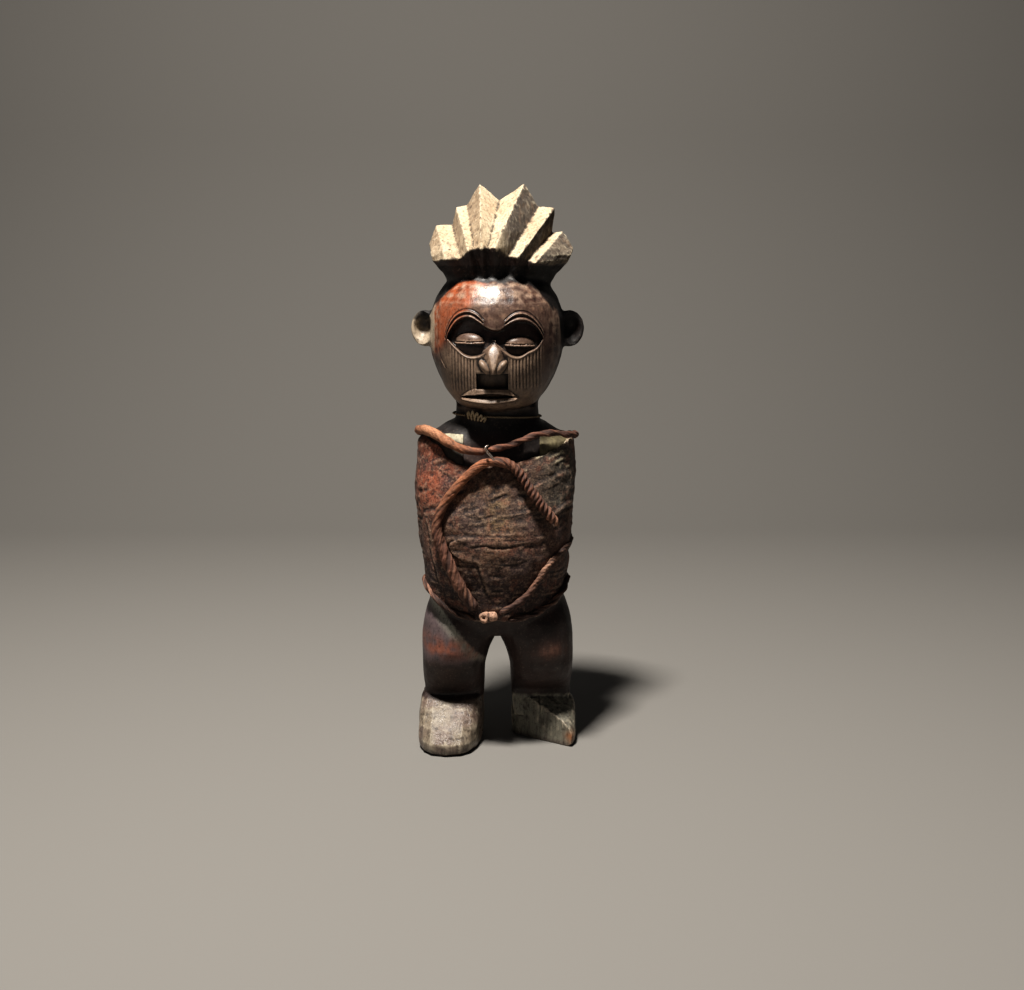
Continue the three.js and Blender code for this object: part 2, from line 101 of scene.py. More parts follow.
paper_shader.inputs["Base Color"].default_value = (0.20, 0.192, 0.18, 1)
paper_shader.inputs["Roughness"].default_value = 0.85
sweep.data.materials.append(paper)
sweep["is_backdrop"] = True


def soft_box(name, place, aim, size, watts, colour):
    bpy.ops.object.light_add(type="AREA", location=place)
    lamp = bpy.context.object
    lamp.name = name
    lamp.data.size = size
    lamp.data.energy = watts
    lamp.data.color = colour
    lamp.rotation_euler = (Vector(aim) - Vector(place)).to_track_quat("-Z", "Y").to_euler()


soft_box("key_light", (-0.24, -0.50, 1.85), (0, -0.02, 0.3), 0.2, 62, (1.0, 0.95, 0.88))
soft_box("left_light", (-1.6, -1.3, 1.0), (0, 0, 0.3), 0.8, 1.5, (1.0, 0.96, 0.9))
world = bpy.data.worlds.new("studio")
bpy.context.scene.world = world
world.use_nodes = True
world.node_tree.nodes["Background"].inputs["Color"].default_value = (0.9, 0.93, 1.0, 1)
world.node_tree.nodes["Background"].inputs["Strength"].default_value = 0.035
bpy.context.scene.view_settings.view_transform = "Standard"
bpy.context.scene.view_settings.look = "Medium High Contrast"

# Carved figure
# One block of dark hardwood, cut with an adze and a knife: crest, head, neck, torso, legs and feet. Its head
# shines from handling, and its crest and feet are worn down to pale wood.

AXIS_MM = np.array(AXIS) * 1000


def only(piece):
    bpy.ops.object.select_all(action="DESELECT")
    piece.select_set(True)
    bpy.context.view_layer.objects.active = piece


def merged_copy(node, name):
    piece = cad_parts[node].copy()
    piece.data = piece.data.copy()
    piece.name = name
    piece.parent = None
    for key in list(piece.keys()):
        del piece[key]
    bpy.context.collection.objects.link(piece)
    piece.data.materials.clear()
    only(piece)
    bpy.ops.object.mode_set(mode="EDIT")
    bpy.ops.mesh.select_all(action="SELECT")
    bpy.ops.mesh.remove_doubles(threshold=0.00001)
    bpy.ops.object.mode_set(mode="OBJECT")
    return piece


def remesh(piece, size):
    only(piece)
    piece.data.remesh_voxel_size = size * MM
    piece.data.use_remesh_fix_poles = False
    bpy.ops.object.voxel_remesh()


def places_of(piece):
    flat = np.empty(len(piece.data.vertices) * 3)
    piece.data.vertices.foreach_get("co", flat)
    return flat.reshape(-1, 3) * 1000 - AXIS_MM


def normals_of(piece):
    flat = np.empty(len(piece.data.vertices) * 3)
    piece.data.vertices.foreach_get("normal", flat)
    return flat.reshape(-1, 3)


def put(piece, places):
    piece.data.vertices.foreach_set("co", ((places + AXIS_MM) * MM).ravel())
    piece.data.update()


def smoothed(piece, places, weight, times):
    ends = np.empty(len(piece.data.edges) * 2, dtype=np.int32)
    piece.data.edges.foreach_get("vertices", ends)
    a, b = ends.reshape(-1, 2).T
    count = len(places)
    share = np.maximum(np.bincount(a, minlength=count) + np.bincount(b, minlength=count), 1)
    for _ in range(times):
        total = np.stack(
            [
                np.bincount(a, places[b, k], count) + np.bincount(b, places[a, k], count)
                for k in range(3)
            ], 1
        )
        places = places + (0.6 * weight)[:, None] * (total / share[:, None] - places)
    return places


def step(value, low, high):
    t = np.clip((value - low) / (high - low), 0, 1)
    return t * t * (3 - 2 * t)


def along(value, table):
    x, y = np.array(table, float).T
    slope = np.gradient(y, x)
    i = np.clip(np.searchsorted(x, value) - 1, 0, len(x) - 2)
    width = x[i + 1] - x[i]
    t = np.clip((value - x[i]) / width, 0, 1)
    return (
        (2 * t**3 - 3 * t**2 + 1) * y[i]
        + (t**3 - 2 * t**2 + t) * slope[i] * width
        + (3 * t**2 - 2 * t**3) * y[i + 1]
        + (t**3 - t**2) * slope[i + 1] * width
    )


def bump(value, middle, half):
    return np.exp(-(((value - middle) / half) ** 2))


def noise(places, size, seed):
    q = places / size
    cell = np.floor(q).astype(np.int64)
    t = q - cell
    t = t * t * (3 - 2 * t)
    total = np.zeros(len(q))
    for corner in range(8):
        offset = np.array([corner & 1, corner >> 1 & 1, corner >> 2 & 1])
        c = cell + offset
        h = (c[:, 0] * 73856093) ^ (c[:, 1] * 19349663) ^ (c[:, 2] * 83492791) ^ (seed * 2654435761)
        h = ((h ^ (h >> 13)) * 1274126177) & 0xFFFFFFFF
        h = ((h ^ (h >> 16)) * 2246822519) & 0xFFFFFFFF
        share = np.where(offset, t, 1 - t).prod(1)
        total += share * (h / 2**31 - 1)
    return total


# The head's own frame: u runs across the face, v into it and w up.
HEAD_TURN = radians(-3.3)


def to_head(p):
    u = p[:, 0] * cos(HEAD_TURN) + p[:, 1] * sin(HEAD_TURN)
    v = -p[:, 0] * sin(HEAD_TURN) + p[:, 1] * cos(HEAD_TURN)
    return u, v, p[:, 2]


def from_head(u, v, w):
    return np.stack(
        [u * cos(HEAD_TURN) - v * sin(HEAD_TURN), u * sin(HEAD_TURN) + v * cos(HEAD_TURN), w], 1,
    )


SKULL_HALF = [
    (306, 22), (311, 32), (321, 42), (337, 51), (354, 57), (372, 59), (388, 58), (403, 54), (416, 45),
]
SKULL_FRONT = [
    (306, 33), (311, 44), (321, 52), (337, 57), (354, 59), (372, 59), (388, 58), (403, 53), (416, 43),
]
RIB_OUT = [
    (-42.5, 369), (-41, 374), (-38.7, 380.2), (-34.2, 387.4), (-26.6, 392.6), (-19.4, 393.2),
    (-12.5, 389.9), (-7, 384.6),
    (0, 381.5), (7, 382), (9.6, 384.4), (15, 389.1), (23.2, 391.9), (30.6, 389.6), (37.2, 383.4),
    (41.8, 376), (44, 370),
]
RIB_IN = [
    (-41, 369), (-39.5, 373.5), (-37.5, 377.4), (-32.4, 384.4), (-26.2, 388.4), (-19.3, 389),
    (-11.6, 385), (-6, 381.4),
    (0, 379), (6, 379.4), (10.1, 381.9), (16.6, 385.5), (24, 386.9), (31.4, 384.7), (38.1, 378.4),
    (42, 371.5),
]
CHEEK_EDGE = [
    (-41, 371.5), (-36.4, 367.2), (-30.7, 362.1), (-24.4, 357.5), (-14.9, 356), (-9, 358), (-4, 362),
    (0, 364), (4, 363.5),
    (9.2, 360.6), (15.9, 356.6), (22.5, 356), (29, 359.4), (37.3, 363.9), (42.5, 371.5),
]
EYES = [
    {"at": (-20.3, 368.9), "half": 12.6, "up": 6.6, "swell": 6.0, "tilt": 0.5},
    {"at": (22.4, 366.7), "half": 12.6, "up": 5.6, "swell": 5.2, "tilt": -2.5},
]
NOSE_HALF = [
    (340, 9), (342.5, 9.5), (346, 11.6), (351.5, 11.9), (356, 10), (360.5, 8), (364, 4.6), (367, 1.6),
    (370, 0.6),
]
NOSE_BLADE = [
    (340, 0.4), (343.5, 0.5), (348, 1.5), (353.6, 2.6), (360.8, 4.2), (364, 2.6), (367, 0.8), (370, 0.3),
]
NOSE_OUT = [
    (340, 9), (342, 10.2), (345.5, 10.8), (350, 9.4), (355, 7), (361, 3.6), (365, 0.6), (367, -1.6),
    (370, -6),
]
LIP_TOP = [
    (-29.6, 321), (-23.9, 325.3), (-16.6, 329), (-6, 328.8), (1.4, 328.8), (12.7, 328.4), (17.2, 324.4),
    (21, 321.2),
]
GAP_TOP = [
    (-27.5, 321), (-25.9, 321.9), (-15.9, 323.6), (-6.3, 324.9), (1.3, 325.2), (9.7, 324.4),
    (18.8, 321.9), (20.4, 321.2),
]
GAP_LOW = [(-27.5, 320.4), (-16, 320.6), (-2.2, 320.3), (9.6, 320.8), (18.8, 321.2), (20.4, 321.1)]
LIP_EDGE = [(-28, 319.6), (-16.2, 318), (-2.1, 317.3), (9.5, 318.4), (19.6, 320.3), (21, 320.9)]
SCARS = [
    [(343.6, -41.8), (346.6, -43.3), (353.3, -46.9), (360.9, -48.6), (364, -48.8)],
    [(347, -46), (352, -48.6), (357, -50)],
]


def face_relief(u, w):
    brow, edge = along(u, RIB_IN), along(u, CHEEK_EDGE)
    span = np.maximum(brow - edge, 0.1)
    rise = (w - edge) / span
    depth = 4.6 + 2.6 * step(rise, 0, 0.8)
    relief = -depth * step(w - edge, -0.3, 1.2) * step(brow - w, 0.2, 2.6) * step(span, 1, 9)
    relief += 0.4 * bump(w - edge, -1.0, 0.8) * step(abs(u), 8, 12) * (1 - step(abs(u), 36, 40))
    ends = step(abs(u - 1), 7.5, 10) * (1 - step(abs(u), 40, 43))
    relief += ends * (1.1 * bump(w - brow, 0.4, 0.85) - 0.5 * bump(w - brow, 2.2, 0.7))
    outer_rib = w - along(u, RIB_OUT)
    relief += (
        ends
        * (
            1.2 * bump(outer_rib, 0, 0.85) - 0.6 * bump(outer_rib, 2.0, 0.9) - 0.7
            * bump(outer_rib, -1.9, 0.9)
        )
    )
    for eye in EYES:
        du, dw = u - eye["at"][0], w - eye["at"][1]
        tilt = radians(eye["tilt"])
        du, dw = du * cos(tilt) + dw * sin(tilt), -du * sin(tilt) + dw * cos(tilt)
        out = (abs(du) / eye["half"]) ** 2 + (np.maximum(dw, 0) / eye["up"]) ** 2
        lid = -6.6 + eye["swell"] * np.clip(1 - out, 0, 1) ** 0.55
        relief = np.where((out < 1) & (dw > -0.4), np.maximum(relief, lid), relief)
        width = np.clip(1 - (abs(du) / (eye["half"] + 0.6)) ** 2.5, 0, 1)
        ledge = -6.4 + 6.2 * width ** 0.5
        relief = np.where((dw < -0.9) & (dw > -2.3) & (width > 0), np.maximum(relief, ledge), relief)
    across = abs(u - 0.9)
    half, blade, out = along(w, NOSE_HALF), along(w, NOSE_BLADE), along(w, NOSE_OUT)
    side = np.clip((across - blade) / np.maximum(half - blade, 0.2), 0, 1.6)
    ridge = out - 0.08 * across - (out + 1.2) * side - 1.2 * bump(w, 345, 5) * bump(across, 3.6, 1.3)
    relief = np.where((w > 341.6) & (w < 370) & (side < 1.5), np.maximum(relief, ridge), relief)
    for middle, lean in ((-6.4, 37), (6.8, -37)):
        du, dw = u - middle, w - 347.3
        turn = radians(lean)
        du, dw = du * cos(turn) + dw * sin(turn), -du * sin(turn) + dw * cos(turn)
        out = (du / 3.5) ** 2 + (dw / 7.6) ** 2
        wing = 3.0 + 6.0 * np.sqrt(np.clip(1 - out, 0, 1))
        relief = np.where((out < 1) & (w > 341.6), np.maximum(relief, wing), relief)
    muzzle = 2.6 * bump(u, -3, 27) * bump(w, 328, 15) + 1.4 * bump(abs(u), 24, 12) * bump(w, 346, 13)
    relief += muzzle * (1 - step(w - edge, -1, 1))
    cuts = np.clip(np.sin((u + 0.4) * 2 * pi / 2.75), 0, 1) ** 1.5
    left_cuts = (
        step(u, -37, -35) * (1 - step(u, -16, -14)) * (1 - step(w - edge, -3.5, -1.5)) * step(w, 324, 329)
    )
    right_cuts = (
        step(u, 13.5, 15) * (1 - step(u, 40, 42)) * (1 - step(w - edge, -3.5, -1.5)) * step(w, 327, 332)
    )
    relief -= (0.8 * left_cuts + 0.95 * right_cuts) * cuts
    for scar in SCARS:
        inside = step(w, scar[0][0], scar[0][0] + 2) * (1 - step(w, scar[-1][0] - 2, scar[-1][0]))
        relief += (
            inside * (0.8 * bump(u - along(w, scar), 0, 0.7) - 0.5 * bump(u - along(w, scar), 1.5, 0.7))
        )
    hollow = (
        step(u, -14.3, -13.5) * (1 - step(u, 12, 12.8)) * step(w, 328.4, 329.4)
        * (1 - step(w, 341.4, 342.2))
    )
    relief = np.where(hollow > 0, relief * (1 - hollow) + hollow * np.minimum(relief, -6.5), relief)
    top, gap_top, gap_low, lip = along(u, LIP_TOP), along(u, GAP_TOP), along(u, GAP_LOW), along(u, LIP_EDGE)
    inside = step(u, -29.5, -26.5) * (1 - step(u, 18.8, 21.5))
    slope = np.clip((top - w) / np.maximum(top - gap_top, 0.3), 0, 1)
    upper = 3.0 * slope**0.8 * (w > gap_top)
    chin = np.clip((gap_low - w) / np.maximum(gap_low - lip, 0.3), 0, 1)
    lower = (3.4 + 4.6 * chin**0.8) * (w < gap_low) * (1 - step(lip - w, 0.1, 2.0))
    gap = -3.6 * (w <= gap_top) * (w >= gap_low)
    return relief + inside * (upper + lower + gap)


def carve_face(places):
    u, v, w = to_head(places)
    skull = (
        along(w, SKULL_FRONT) * np.clip(1 - (abs(u) / along(w, SKULL_HALF)) ** 2.08, 0, 1) ** (1 / 2.08)
    )
    share = (v < -12) * step(w, 309, 315) * (1 - step(w, 396, 404)) * (1 - step(abs(u), 44, 49))
    return from_head(u, v * (1 - share) - share * (skull + face_relief(u, w)), w), share


def hollow_ears(places, normals):
    u, v, w = to_head(places)
    for side in (-1, 1):
        out = ((u - 66.5 * side) / 10.5) ** 2 + ((w - 377.5) / 14.5) ** 2
        v = v + 7.6 * np.clip(1 - out, 0, 1) ** 0.55 * (normals[:, 1] < 0.3) * (v < 6)
    return from_head(u, v, w)


figure = merged_copy("carved_figure", "carved_body")
facets = BVHTree.FromPolygons(
    [tuple(p) for p in places_of(figure)], [tuple(face.vertices) for face in figure.data.polygons]
)
remesh(figure, 1.1)
places = places_of(figure)
height = places[:, 2]
round_wood = step(height, 44, 50) * (1 - step(height, 421, 427))
places = smoothed(figure, places, np.maximum(round_wood, 0.02), 24)
knees = step(-places[:, 1], 12, 34) * bump(height, 88, 24) * step(height, 46, 60)
places[:, 1] += 6.5 * knees
put(figure, places)
places = hollow_ears(places, normals_of(figure))
places, share = carve_face(places)
put(figure, places)
remesh(figure, 0.9)
places, share = carve_face(places_of(figure))
figure.data.polygons.foreach_set("select", np.zeros(len(figure.data.polygons), bool))
figure.data.edges.foreach_set("select", np.zeros(len(figure.data.edges), bool))
figure.data.vertices.foreach_set("select", share > 0.5)
bpy.ops.object.mode_set(mode="EDIT")
bpy.ops.mesh.select_mode(type="VERT")
bpy.ops.mesh.subdivide(number_cuts=1)
bpy.ops.object.mode_set(mode="OBJECT")
places, share = carve_face(places_of(figure))
put(figure, places)
x, y, z = places.T

CREST_RIM = [
    (-62, 435), (-52, 435.5), (-43, 436), (-32, 436.5), (-27, 440), (-23, 443.5), (-13, 445), (-2, 445),
    (4, 443), (9.5, 439),
    (18, 438), (25.5, 435), (32, 433), (61, 434), (70, 434),
]
# Cuts of the adze and the knife: flat strokes on the round parts, and grain along the pleats and the split.
strokes = np.stack([x, y, 0.45 * z], 1)
relief = 0.35 * noise(strokes, 9, 51) + 0.12 * noise(places, 3.5, 52)
crest = step(z, 424, 430)
fan = np.arctan2(x + 5, z - 392)
reach = np.hypot(x + 5, z - 392)
pleat_grain = np.stack([fan * 60, y, reach * 0.12], 1)
relief += (
    crest
    * (0.28 * noise(pleat_grain, 1.6, 53) + 0.3 * noise(pleat_grain, 4, 54) + 0.3 * noise(places, 5, 55))
)
split = step(x - 13 + (y - 5) * 1.2, 4, 10) * (1 - step(z, 36, 42)) * (x > 12)
split_grain = np.stack([x, y, 0.1 * z], 1)
relief += (
    split
    * (
        0.45 * noise(split_grain, 2.2, 56) + 0.5 * noise(split_grain, 5, 57) - 0.9 * bump(x, 38.5, 0.8)
        * (y < 0)
    )
)
feet = 1 - step(z, 40, 46)
relief += feet * 0.5 * noise(places, 7, 58)
places = places + normals_of(figure) * ((1 - share) * relief)[:, None]
places[:, 2] = np.maximum(places[:, 2], 0)  # the soles stay flat on the floor
put(figure, places)
FIGURE_TRIANGLES = 185_000  # the most that the finished figure has
under_wrap = (z > 168) & (z < 255)
parts = [
    (under_wrap, 0.06), (~under_wrap & (share <= 0.3) & (crest < 0.5), 0.33), ((crest >= 0.5), 0.6),
    (share > 0.3, 0.6),
]
kinds = figure.data.attributes.new("kind", "INT", "POINT")
kinds.data.foreach_set("value", sum((i * chosen for i, (chosen, _) in enumerate(parts))).astype(np.int32))
for i, (_, ratio) in enumerate(parts):
    kind = np.empty(len(figure.data.vertices), np.int32)
    figure.data.attributes["kind"].data.foreach_get("value", kind)
    for group in (figure.data.polygons, figure.data.edges):
        group.foreach_set("select", np.zeros(len(group), bool))
    figure.data.vertices.foreach_set("select", kind == i)
    bpy.ops.object.mode_set(mode="EDIT")
    bpy.ops.mesh.decimate(ratio=ratio)
    bpy.ops.object.mode_set(mode="OBJECT")
figure.data.attributes.remove(figure.data.attributes["kind"])
triangles = sum(len(face.vertices) - 2 for face in figure.data.polygons)
thinning = figure.modifiers.new("thinning", "DECIMATE")
thinning.ratio = min(1, FIGURE_TRIANGLES / triangles)
bpy.ops.object.modifier_apply(modifier=thinning.name)
bpy.ops.object.shade_smooth()
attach(figure, "root")
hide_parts("carved_figure")


def paint(piece, name, values):
    values = np.asarray(values, float)
    if values.ndim == 1:
        piece.data.attributes.new(name, "FLOAT", "POINT").data.foreach_set("value", values)
    else:
        full = np.concatenate([values, np.ones((len(values), 1))], 1)
        piece.data.attributes.new(name, "FLOAT_COLOR", "POINT").data.foreach_set("color", full.ravel())


def blended(colours, colour, share):
    return colours + (np.array(colour) - colours) * np.clip(share, 0, 1)[:, None]


def convexity(piece, places, times):
    offset = places - smoothed(piece, places, np.ones(len(places)), times)
    return (offset * normals_of(piece)).sum(1)


def add_node(material, kind, inputs=None, **settings):
    made = material.node_tree.nodes.new("ShaderNode" + kind)
    for name, value in settings.items():
        setattr(made, name, value)
    for name, value in (inputs or {}).items():
        if isinstance(value, bpy.types.NodeSocket):
            material.node_tree.links.new(value, made.inputs[name])
        else:
            made.inputs[name].default_value = value
    return made


def ramp(material, value, low, high, to_low=0.0, to_high=1.0):
    made = add_node(material, "MapRange", {"Value": value, "From Min": low, "From Max": high})
    made.inputs["To Min"].default_value = to_low
    made.inputs["To Max"].default_value = to_high
    return made.outputs["Result"]


def mixed(material, share, a, b, blend="MIX"):
    made = add_node(material, "Mix", data_type="RGBA", blend_type=blend)
    for socket, value in zip((made.inputs[0], made.inputs[6], made.inputs[7]), (share, a, b)):
        if isinstance(value, bpy.types.NodeSocket):
            material.node_tree.links.new(value, socket)
        else:
            socket.default_value = value
    return made.outputs[2]


def fine_noise(material, vector, size, detail=4.0, rough=0.6):
    inputs = {"Vector": vector, "Scale": 1000 / size, "Detail": detail, "Roughness": rough}
    return add_node(material, "TexNoise", inputs).outputs["Fac"]


def new_material(name):
    material = bpy.data.materials.new(name)
    material.use_nodes = True
    return material, material.node_tree.nodes["Principled BSDF"]


def link(material, source, node, socket):
    material.node_tree.links.new(source, node.inputs[socket])


# Paint: bare pale wood on the crest and feet, an orange stain on the forehead, dust on the face
# and darker colour in the creases. Painted shade lies in the eye sockets, under the nose, on the neck,
# under the crest and in its cast shadow on the head, and on the crest's facets that turn from the light.
# Painted light lies on the upper lids, the lip and lid edges, the lower face, the left ear, the left thigh
# and the right knee.
# Scalloped edge of the crest's cast shadow and of the dark hair on the head, running down its sides.
HAIR_AND_SHADOW_EDGE = [
    (-60, 384), (-55, 394), (-47, 402), (-38, 411), (-28.8, 418.2), (-20.9, 419.9), (-15.5, 418.3),
    (-5.8, 415.9), (-0.9, 418),
    (7.6, 415.5), (13.3, 417.9), (20.1, 415.9), (28.4, 414.2), (38.5, 407.5), (48.7, 393.9),
    (55.5, 380.8), (58, 350),
]
places, normals = places_of(figure), normals_of(figure)
x, y, z = places.T
u, v, w = to_head(places)
front = step(-y, 0, 20)
sharp, broad = convexity(figure, places, 3), convexity(figure, places, 16)
cloud, mottle, specks = noise(places, 16, 61), noise(places, 5, 62), noise(places, 2.2, 63)
streak = noise(np.stack([x, y, 0.15 * z], 1), 2.4, 64)
colours = np.tile((0.014, 0.009, 0.008), (len(places), 1))
colours = blended(colours, (0.036, 0.017, 0.013), 0.45 + 0.6 * cloud)
head = step(z, 303, 312) * (1 - step(z, 419, 425)) * (abs(x) < 62)
face = head * step(-v, 8, 24)
colours = blended(colours, (0.085, 0.046, 0.036), face * (0.75 + 0.3 * mottle))
# Dust, and painted light: the lower face is painted pale grey-brown where the light falls, but not on its
# right side, which is left dark as painted shade.
dust_and_light = face * (1 - step(w, 352, 376)) * (1 - step(u, 30, 48)) * step(u, -52, -38)
colours = blended(colours, (0.25, 0.175, 0.12), dust_and_light * (0.7 + 0.35 * specks + 0.25 * mottle))
toward = -0.8 * (u + 14.5) + 0.598 * (w - 403)
stain = face * step(toward, -3, 5) * step(w, 340, 364)
colours = blended(colours, (0.36, 0.085, 0.026), stain * (0.66 + 0.35 * mottle + 0.15 * specks))
freckled = face * step(w, 381, 392) * step(specks + 0.5 * mottle, 0.2, 0.7) * (1 - stain)
colours = blended(colours, (0.24, 0.14, 0.09), 0.75 * freckled)
# Painted shade: the eye sockets are painted dark, as the shadow of the brows.
shaded_sockets = (
    step(along(u, RIB_IN) - w, 0.5, 2) * step(w - along(u, CHEEK_EDGE), -0.2, 1) * (abs(u) < 41) * face
)
colours = blended(colours, (0.03, 0.018, 0.016), shaded_sockets * 0.8 * step(-broad, -0.5, 0.4))
# Painted highlight: the upper lids are painted pale where the light from above falls on them.
lit_upper_lids = shaded_sockets * step(broad, 0.2, 1.2) * step(w, 364, 366)
colours = blended(colours, (0.26, 0.165, 0.125), lit_upper_lids * 0.9)
# Rubbed edges are painted pale; along the lids and the lips they are painted paler still, as painted
# highlight where the edges catch the light.
worn = face * step(sharp, 0.02, 0.14)
colours = blended(colours, (0.40, 0.285, 0.21), worn * (0.35 + 0.4 * step(w, 366, 372) + 0.4 * (w < 332)))
colours = blended(colours, (0.008, 0.006, 0.006), head * step(-sharp, 0.01, 0.09) * 0.95)
# Painted shade: the hollow under the nose is painted near black, as the nose's shadow.
shaded_recess = (u > -14.5) * (u < 13) * (w > 328.6) * (w < 342) * face * step(-v, 30, 40)
colours = blended(colours, (0.006, 0.005, 0.005), shaded_recess * step(-broad, -0.3, 0.5))
# Pale bare wood inside the left ear, painted on this ear only because it is lit, so partly painted light;
# the top of its hollow is painted dark as the rim's shade.
lit_left_ear = (u < -52) * bump(w, 377, 24) * step(z, 355, 359)
colours = blended(colours, (0.42, 0.34, 0.25), lit_left_ear * (1 - step(y, 9, 15)))
colours = blended(
    colours, (0.03, 0.022, 0.02), lit_left_ear * step(w + 0.35 * (u + 66), 375, 380) * step(-broad, 0.0, 0.6),
)
# Dark hair, and painted shade: above this edge, down the head's right side and in the band under the crest's
# rim the head is painted near black, as the crest's cast shadow and the shade on the far side.
hair_and_crest_shadow = step(w - along(u, HAIR_AND_SHADOW_EDGE), -0.5, 1.2) * (w < 431) * step(-v, -10, 0)
colours = blended(colours, (0.006, 0.0045, 0.0045), np.maximum(hair_and_crest_shadow, (z > 419) * (z < 431) * 1.0))
# Painted shade: the neck is painted near black, as the chin's shadow.
neck = step(z, 284, 292) * (1 - step(z, 304, 312))
colours = blended(colours, (0.008, 0.006, 0.006), neck * 0.95)
rim = along(x, CREST_RIM) + 1.6 * noise(places, 2.6, 65) + 0.8 * noise(places, 6, 60)
pleats = step(z - rim, -0.8, 0.4) * step(z, 425, 428)
fan = np.arctan2(x + 5, z - 392)
reach = np.hypot(x + 5, z - 392)
lines = noise(np.stack([fan * 60, 0.6 * y, reach * 0.07], 1), 1.5, 66)
facing = np.zeros((len(places), 3))
for i in np.nonzero(z > 428)[0]:
    facing[i] = facets.find_nearest(places[i])[1]
# Painted shade: crest facets that turn from the light are painted darker, mid-brown on the left pleats and
# near black on the right ones.
shaded_left_facets, shaded_right_facets = step(-facing[:, 0], 0.15, 0.45), step(facing[:, 0], 0.25, 0.55)
pale = np.tile((0.47, 0.36, 0.235), (len(places), 1))
pale = blended(pale, (0.58, 0.49, 0.35), 0.4 + 0.6 * cloud)
pale = blended(pale, (0.235, 0.165, 0.105), shaded_left_facets * (1 - step(x, -12, 4)) * step(y, -60, -8) * 0.85)
pale = blended(pale, (0.052, 0.042, 0.036), shaded_right_facets * step(x, 0, 12) * (0.93 + 0.07 * mottle))
pale = blended(pale, (0.20, 0.125, 0.075), step(lines, 0.2, 0.75) * 0.4)
pale = blended(pale, (0.07, 0.045, 0.03), step(specks + 0.5 * lines, 0.75, 1.1) * 0.75)
# Worn ridges, and painted highlight: the crest's sharp ridges are painted pale where they catch the light.
pale = blended(pale, (0.66, 0.57, 0.42), step(sharp, 0.05, 0.2) * 0.6)
pale = blended(
    pale, (0.06, 0.04, 0.03), step(sharp, 0.05, 0.2) * step(mottle + 0.5 * specks, 0.15, 0.45) * 0.85,
)
pale = blended(pale, (0.10, 0.065, 0.04), step(-sharp, 0.05, 0.2) * 0.6)
colours = colours + (pale - colours) * pleats[:, None]
foot = 1 - step(z + 1.2 * noise(places, 5, 67), 39.5, 42)
worn_wood = np.tile((0.27, 0.22, 0.165), (len(places), 1))
worn_wood = blended(worn_wood, (0.17, 0.12, 0.10), step(cloud, -0.2, 0.5) * (x < 0) * 0.8)
worn_wood = blended(worn_wood, (0.19, 0.185, 0.145), (x > 0) * 0.85)
worn_wood = blended(worn_wood, (0.06, 0.045, 0.035), step(streak + 0.3 * mottle, 0.2, 0.7) * 0.6)
worn_wood = blended(worn_wood, (0.03, 0.022, 0.018), step(specks - 0.3 * mottle, 0.5, 0.8) * 0.8)
worn_wood = blended(worn_wood, (0.50, 0.43, 0.33), step(sharp, 0.05, 0.2) * 0.8)
worn_wood = blended(worn_wood, (0.05, 0.035, 0.03), (1 - step(z, 1, 6)) * 0.7)
worn_wood = blended(worn_wood, (0.40, 0.15, 0.05), bump(x, 66, 4) * bump(z, 9, 5) * (y < 5) * 0.8)
colours = colours + (worn_wood - colours) * (foot * (0.9 + 0.1 * cloud))[:, None]
# Painted light: a lit patch on the left thigh, bounded by the wrap's cast shadow, with a painted highlight
# along that shadow's edge and an orange worn patch inside it.
lit_line = 142 - 1.27 * (x + 58)
lit_thigh_patch = (
    step(lit_line - z, 0, 3) * step(z + 3 * mottle, 76, 88) * (x < -8) * step(-y, -14, 6)
    * (1 - step(z, 148, 154))
)
colours = blended(colours, (0.14, 0.105, 0.11), lit_thigh_patch * (0.75 + 0.3 * cloud))
colours = blended(colours, (0.33, 0.33, 0.27), lit_thigh_patch * (1 - step(lit_line - z, 4, 22)) * 0.75)
colours = blended(
    colours, (0.26, 0.08, 0.04),
    lit_thigh_patch * bump(z, 95, 10) * step(mottle, -0.6, 0.3) * (1 - step(lit_line - z, 50, 66)) * 0.8,
)
# Painted light: a brown patch on the right knee where it catches the light.
colours = blended(
    colours, (0.17, 0.08, 0.055), bump(x, 48, 15) * bump(z, 92, 8) * front * (0.7 + 0.4 * mottle),
)
colours = blended(colours, (0.005, 0.004, 0.004), step(-sharp, 0.05, 0.25) * 0.7)
paint(figure, "tone", np.clip(colours, 0.003, 1))
shine = (
    0.56 + 0.3 * pleats - 0.22 * face * (1 - 0.7 * dust_and_light) + 0.12 * mottle + 0.05 * specks
    - 0.22 * foot * (x < 0) + 0.15 * hair_and_crest_shadow
)
paint(figure, "dullness", np.clip(shine, 0.24, 0.95))
paint(figure, "open_grain", np.clip(0.2 + 0.6 * pleats + 0.7 * foot, 0, 1))

wood, shader = new_material("dark_oiled_wood")
at = add_node(wood, "TexCoord").outputs["Object"]
tone = add_node(wood, "Attribute", attribute_name="tone").outputs["Color"]
dull = add_node(wood, "Attribute", attribute_name="dullness").outputs["Fac"]
open_grain = add_node(wood, "Attribute", attribute_name="open_grain").outputs["Fac"]
drawn = add_node(wood, "Mapping", {"Vector": at, "Scale": (1, 1, 0.09)}).outputs["Vector"]
grain = fine_noise(wood, drawn, 1.5, 5.0, 0.65)
fleck = fine_noise(wood, at, 2.2, 5.0, 0.7)
tone = mixed(wood, ramp(wood, grain, 0.32, 0.52, 0.45, 0.0), tone, (0.012, 0.008, 0.007, 1))
tone = mixed(wood, ramp(wood, fleck, 0.34, 0.45, 0.6, 0.0), tone, (0.010, 0.007, 0.007, 1))
light = mixed(wood, 0.55, tone, (0.30, 0.23, 0.18, 1))
tone = mixed(wood, ramp(wood, fleck, 0.57, 0.7, 0.0, 0.5), tone, light)
link(wood, tone, shader, "Base Color")
link(wood, dull, shader, "Roughness")
strength = add_node(wood, "Math", {0: open_grain, 1: grain}, operation="MULTIPLY").outputs[0]
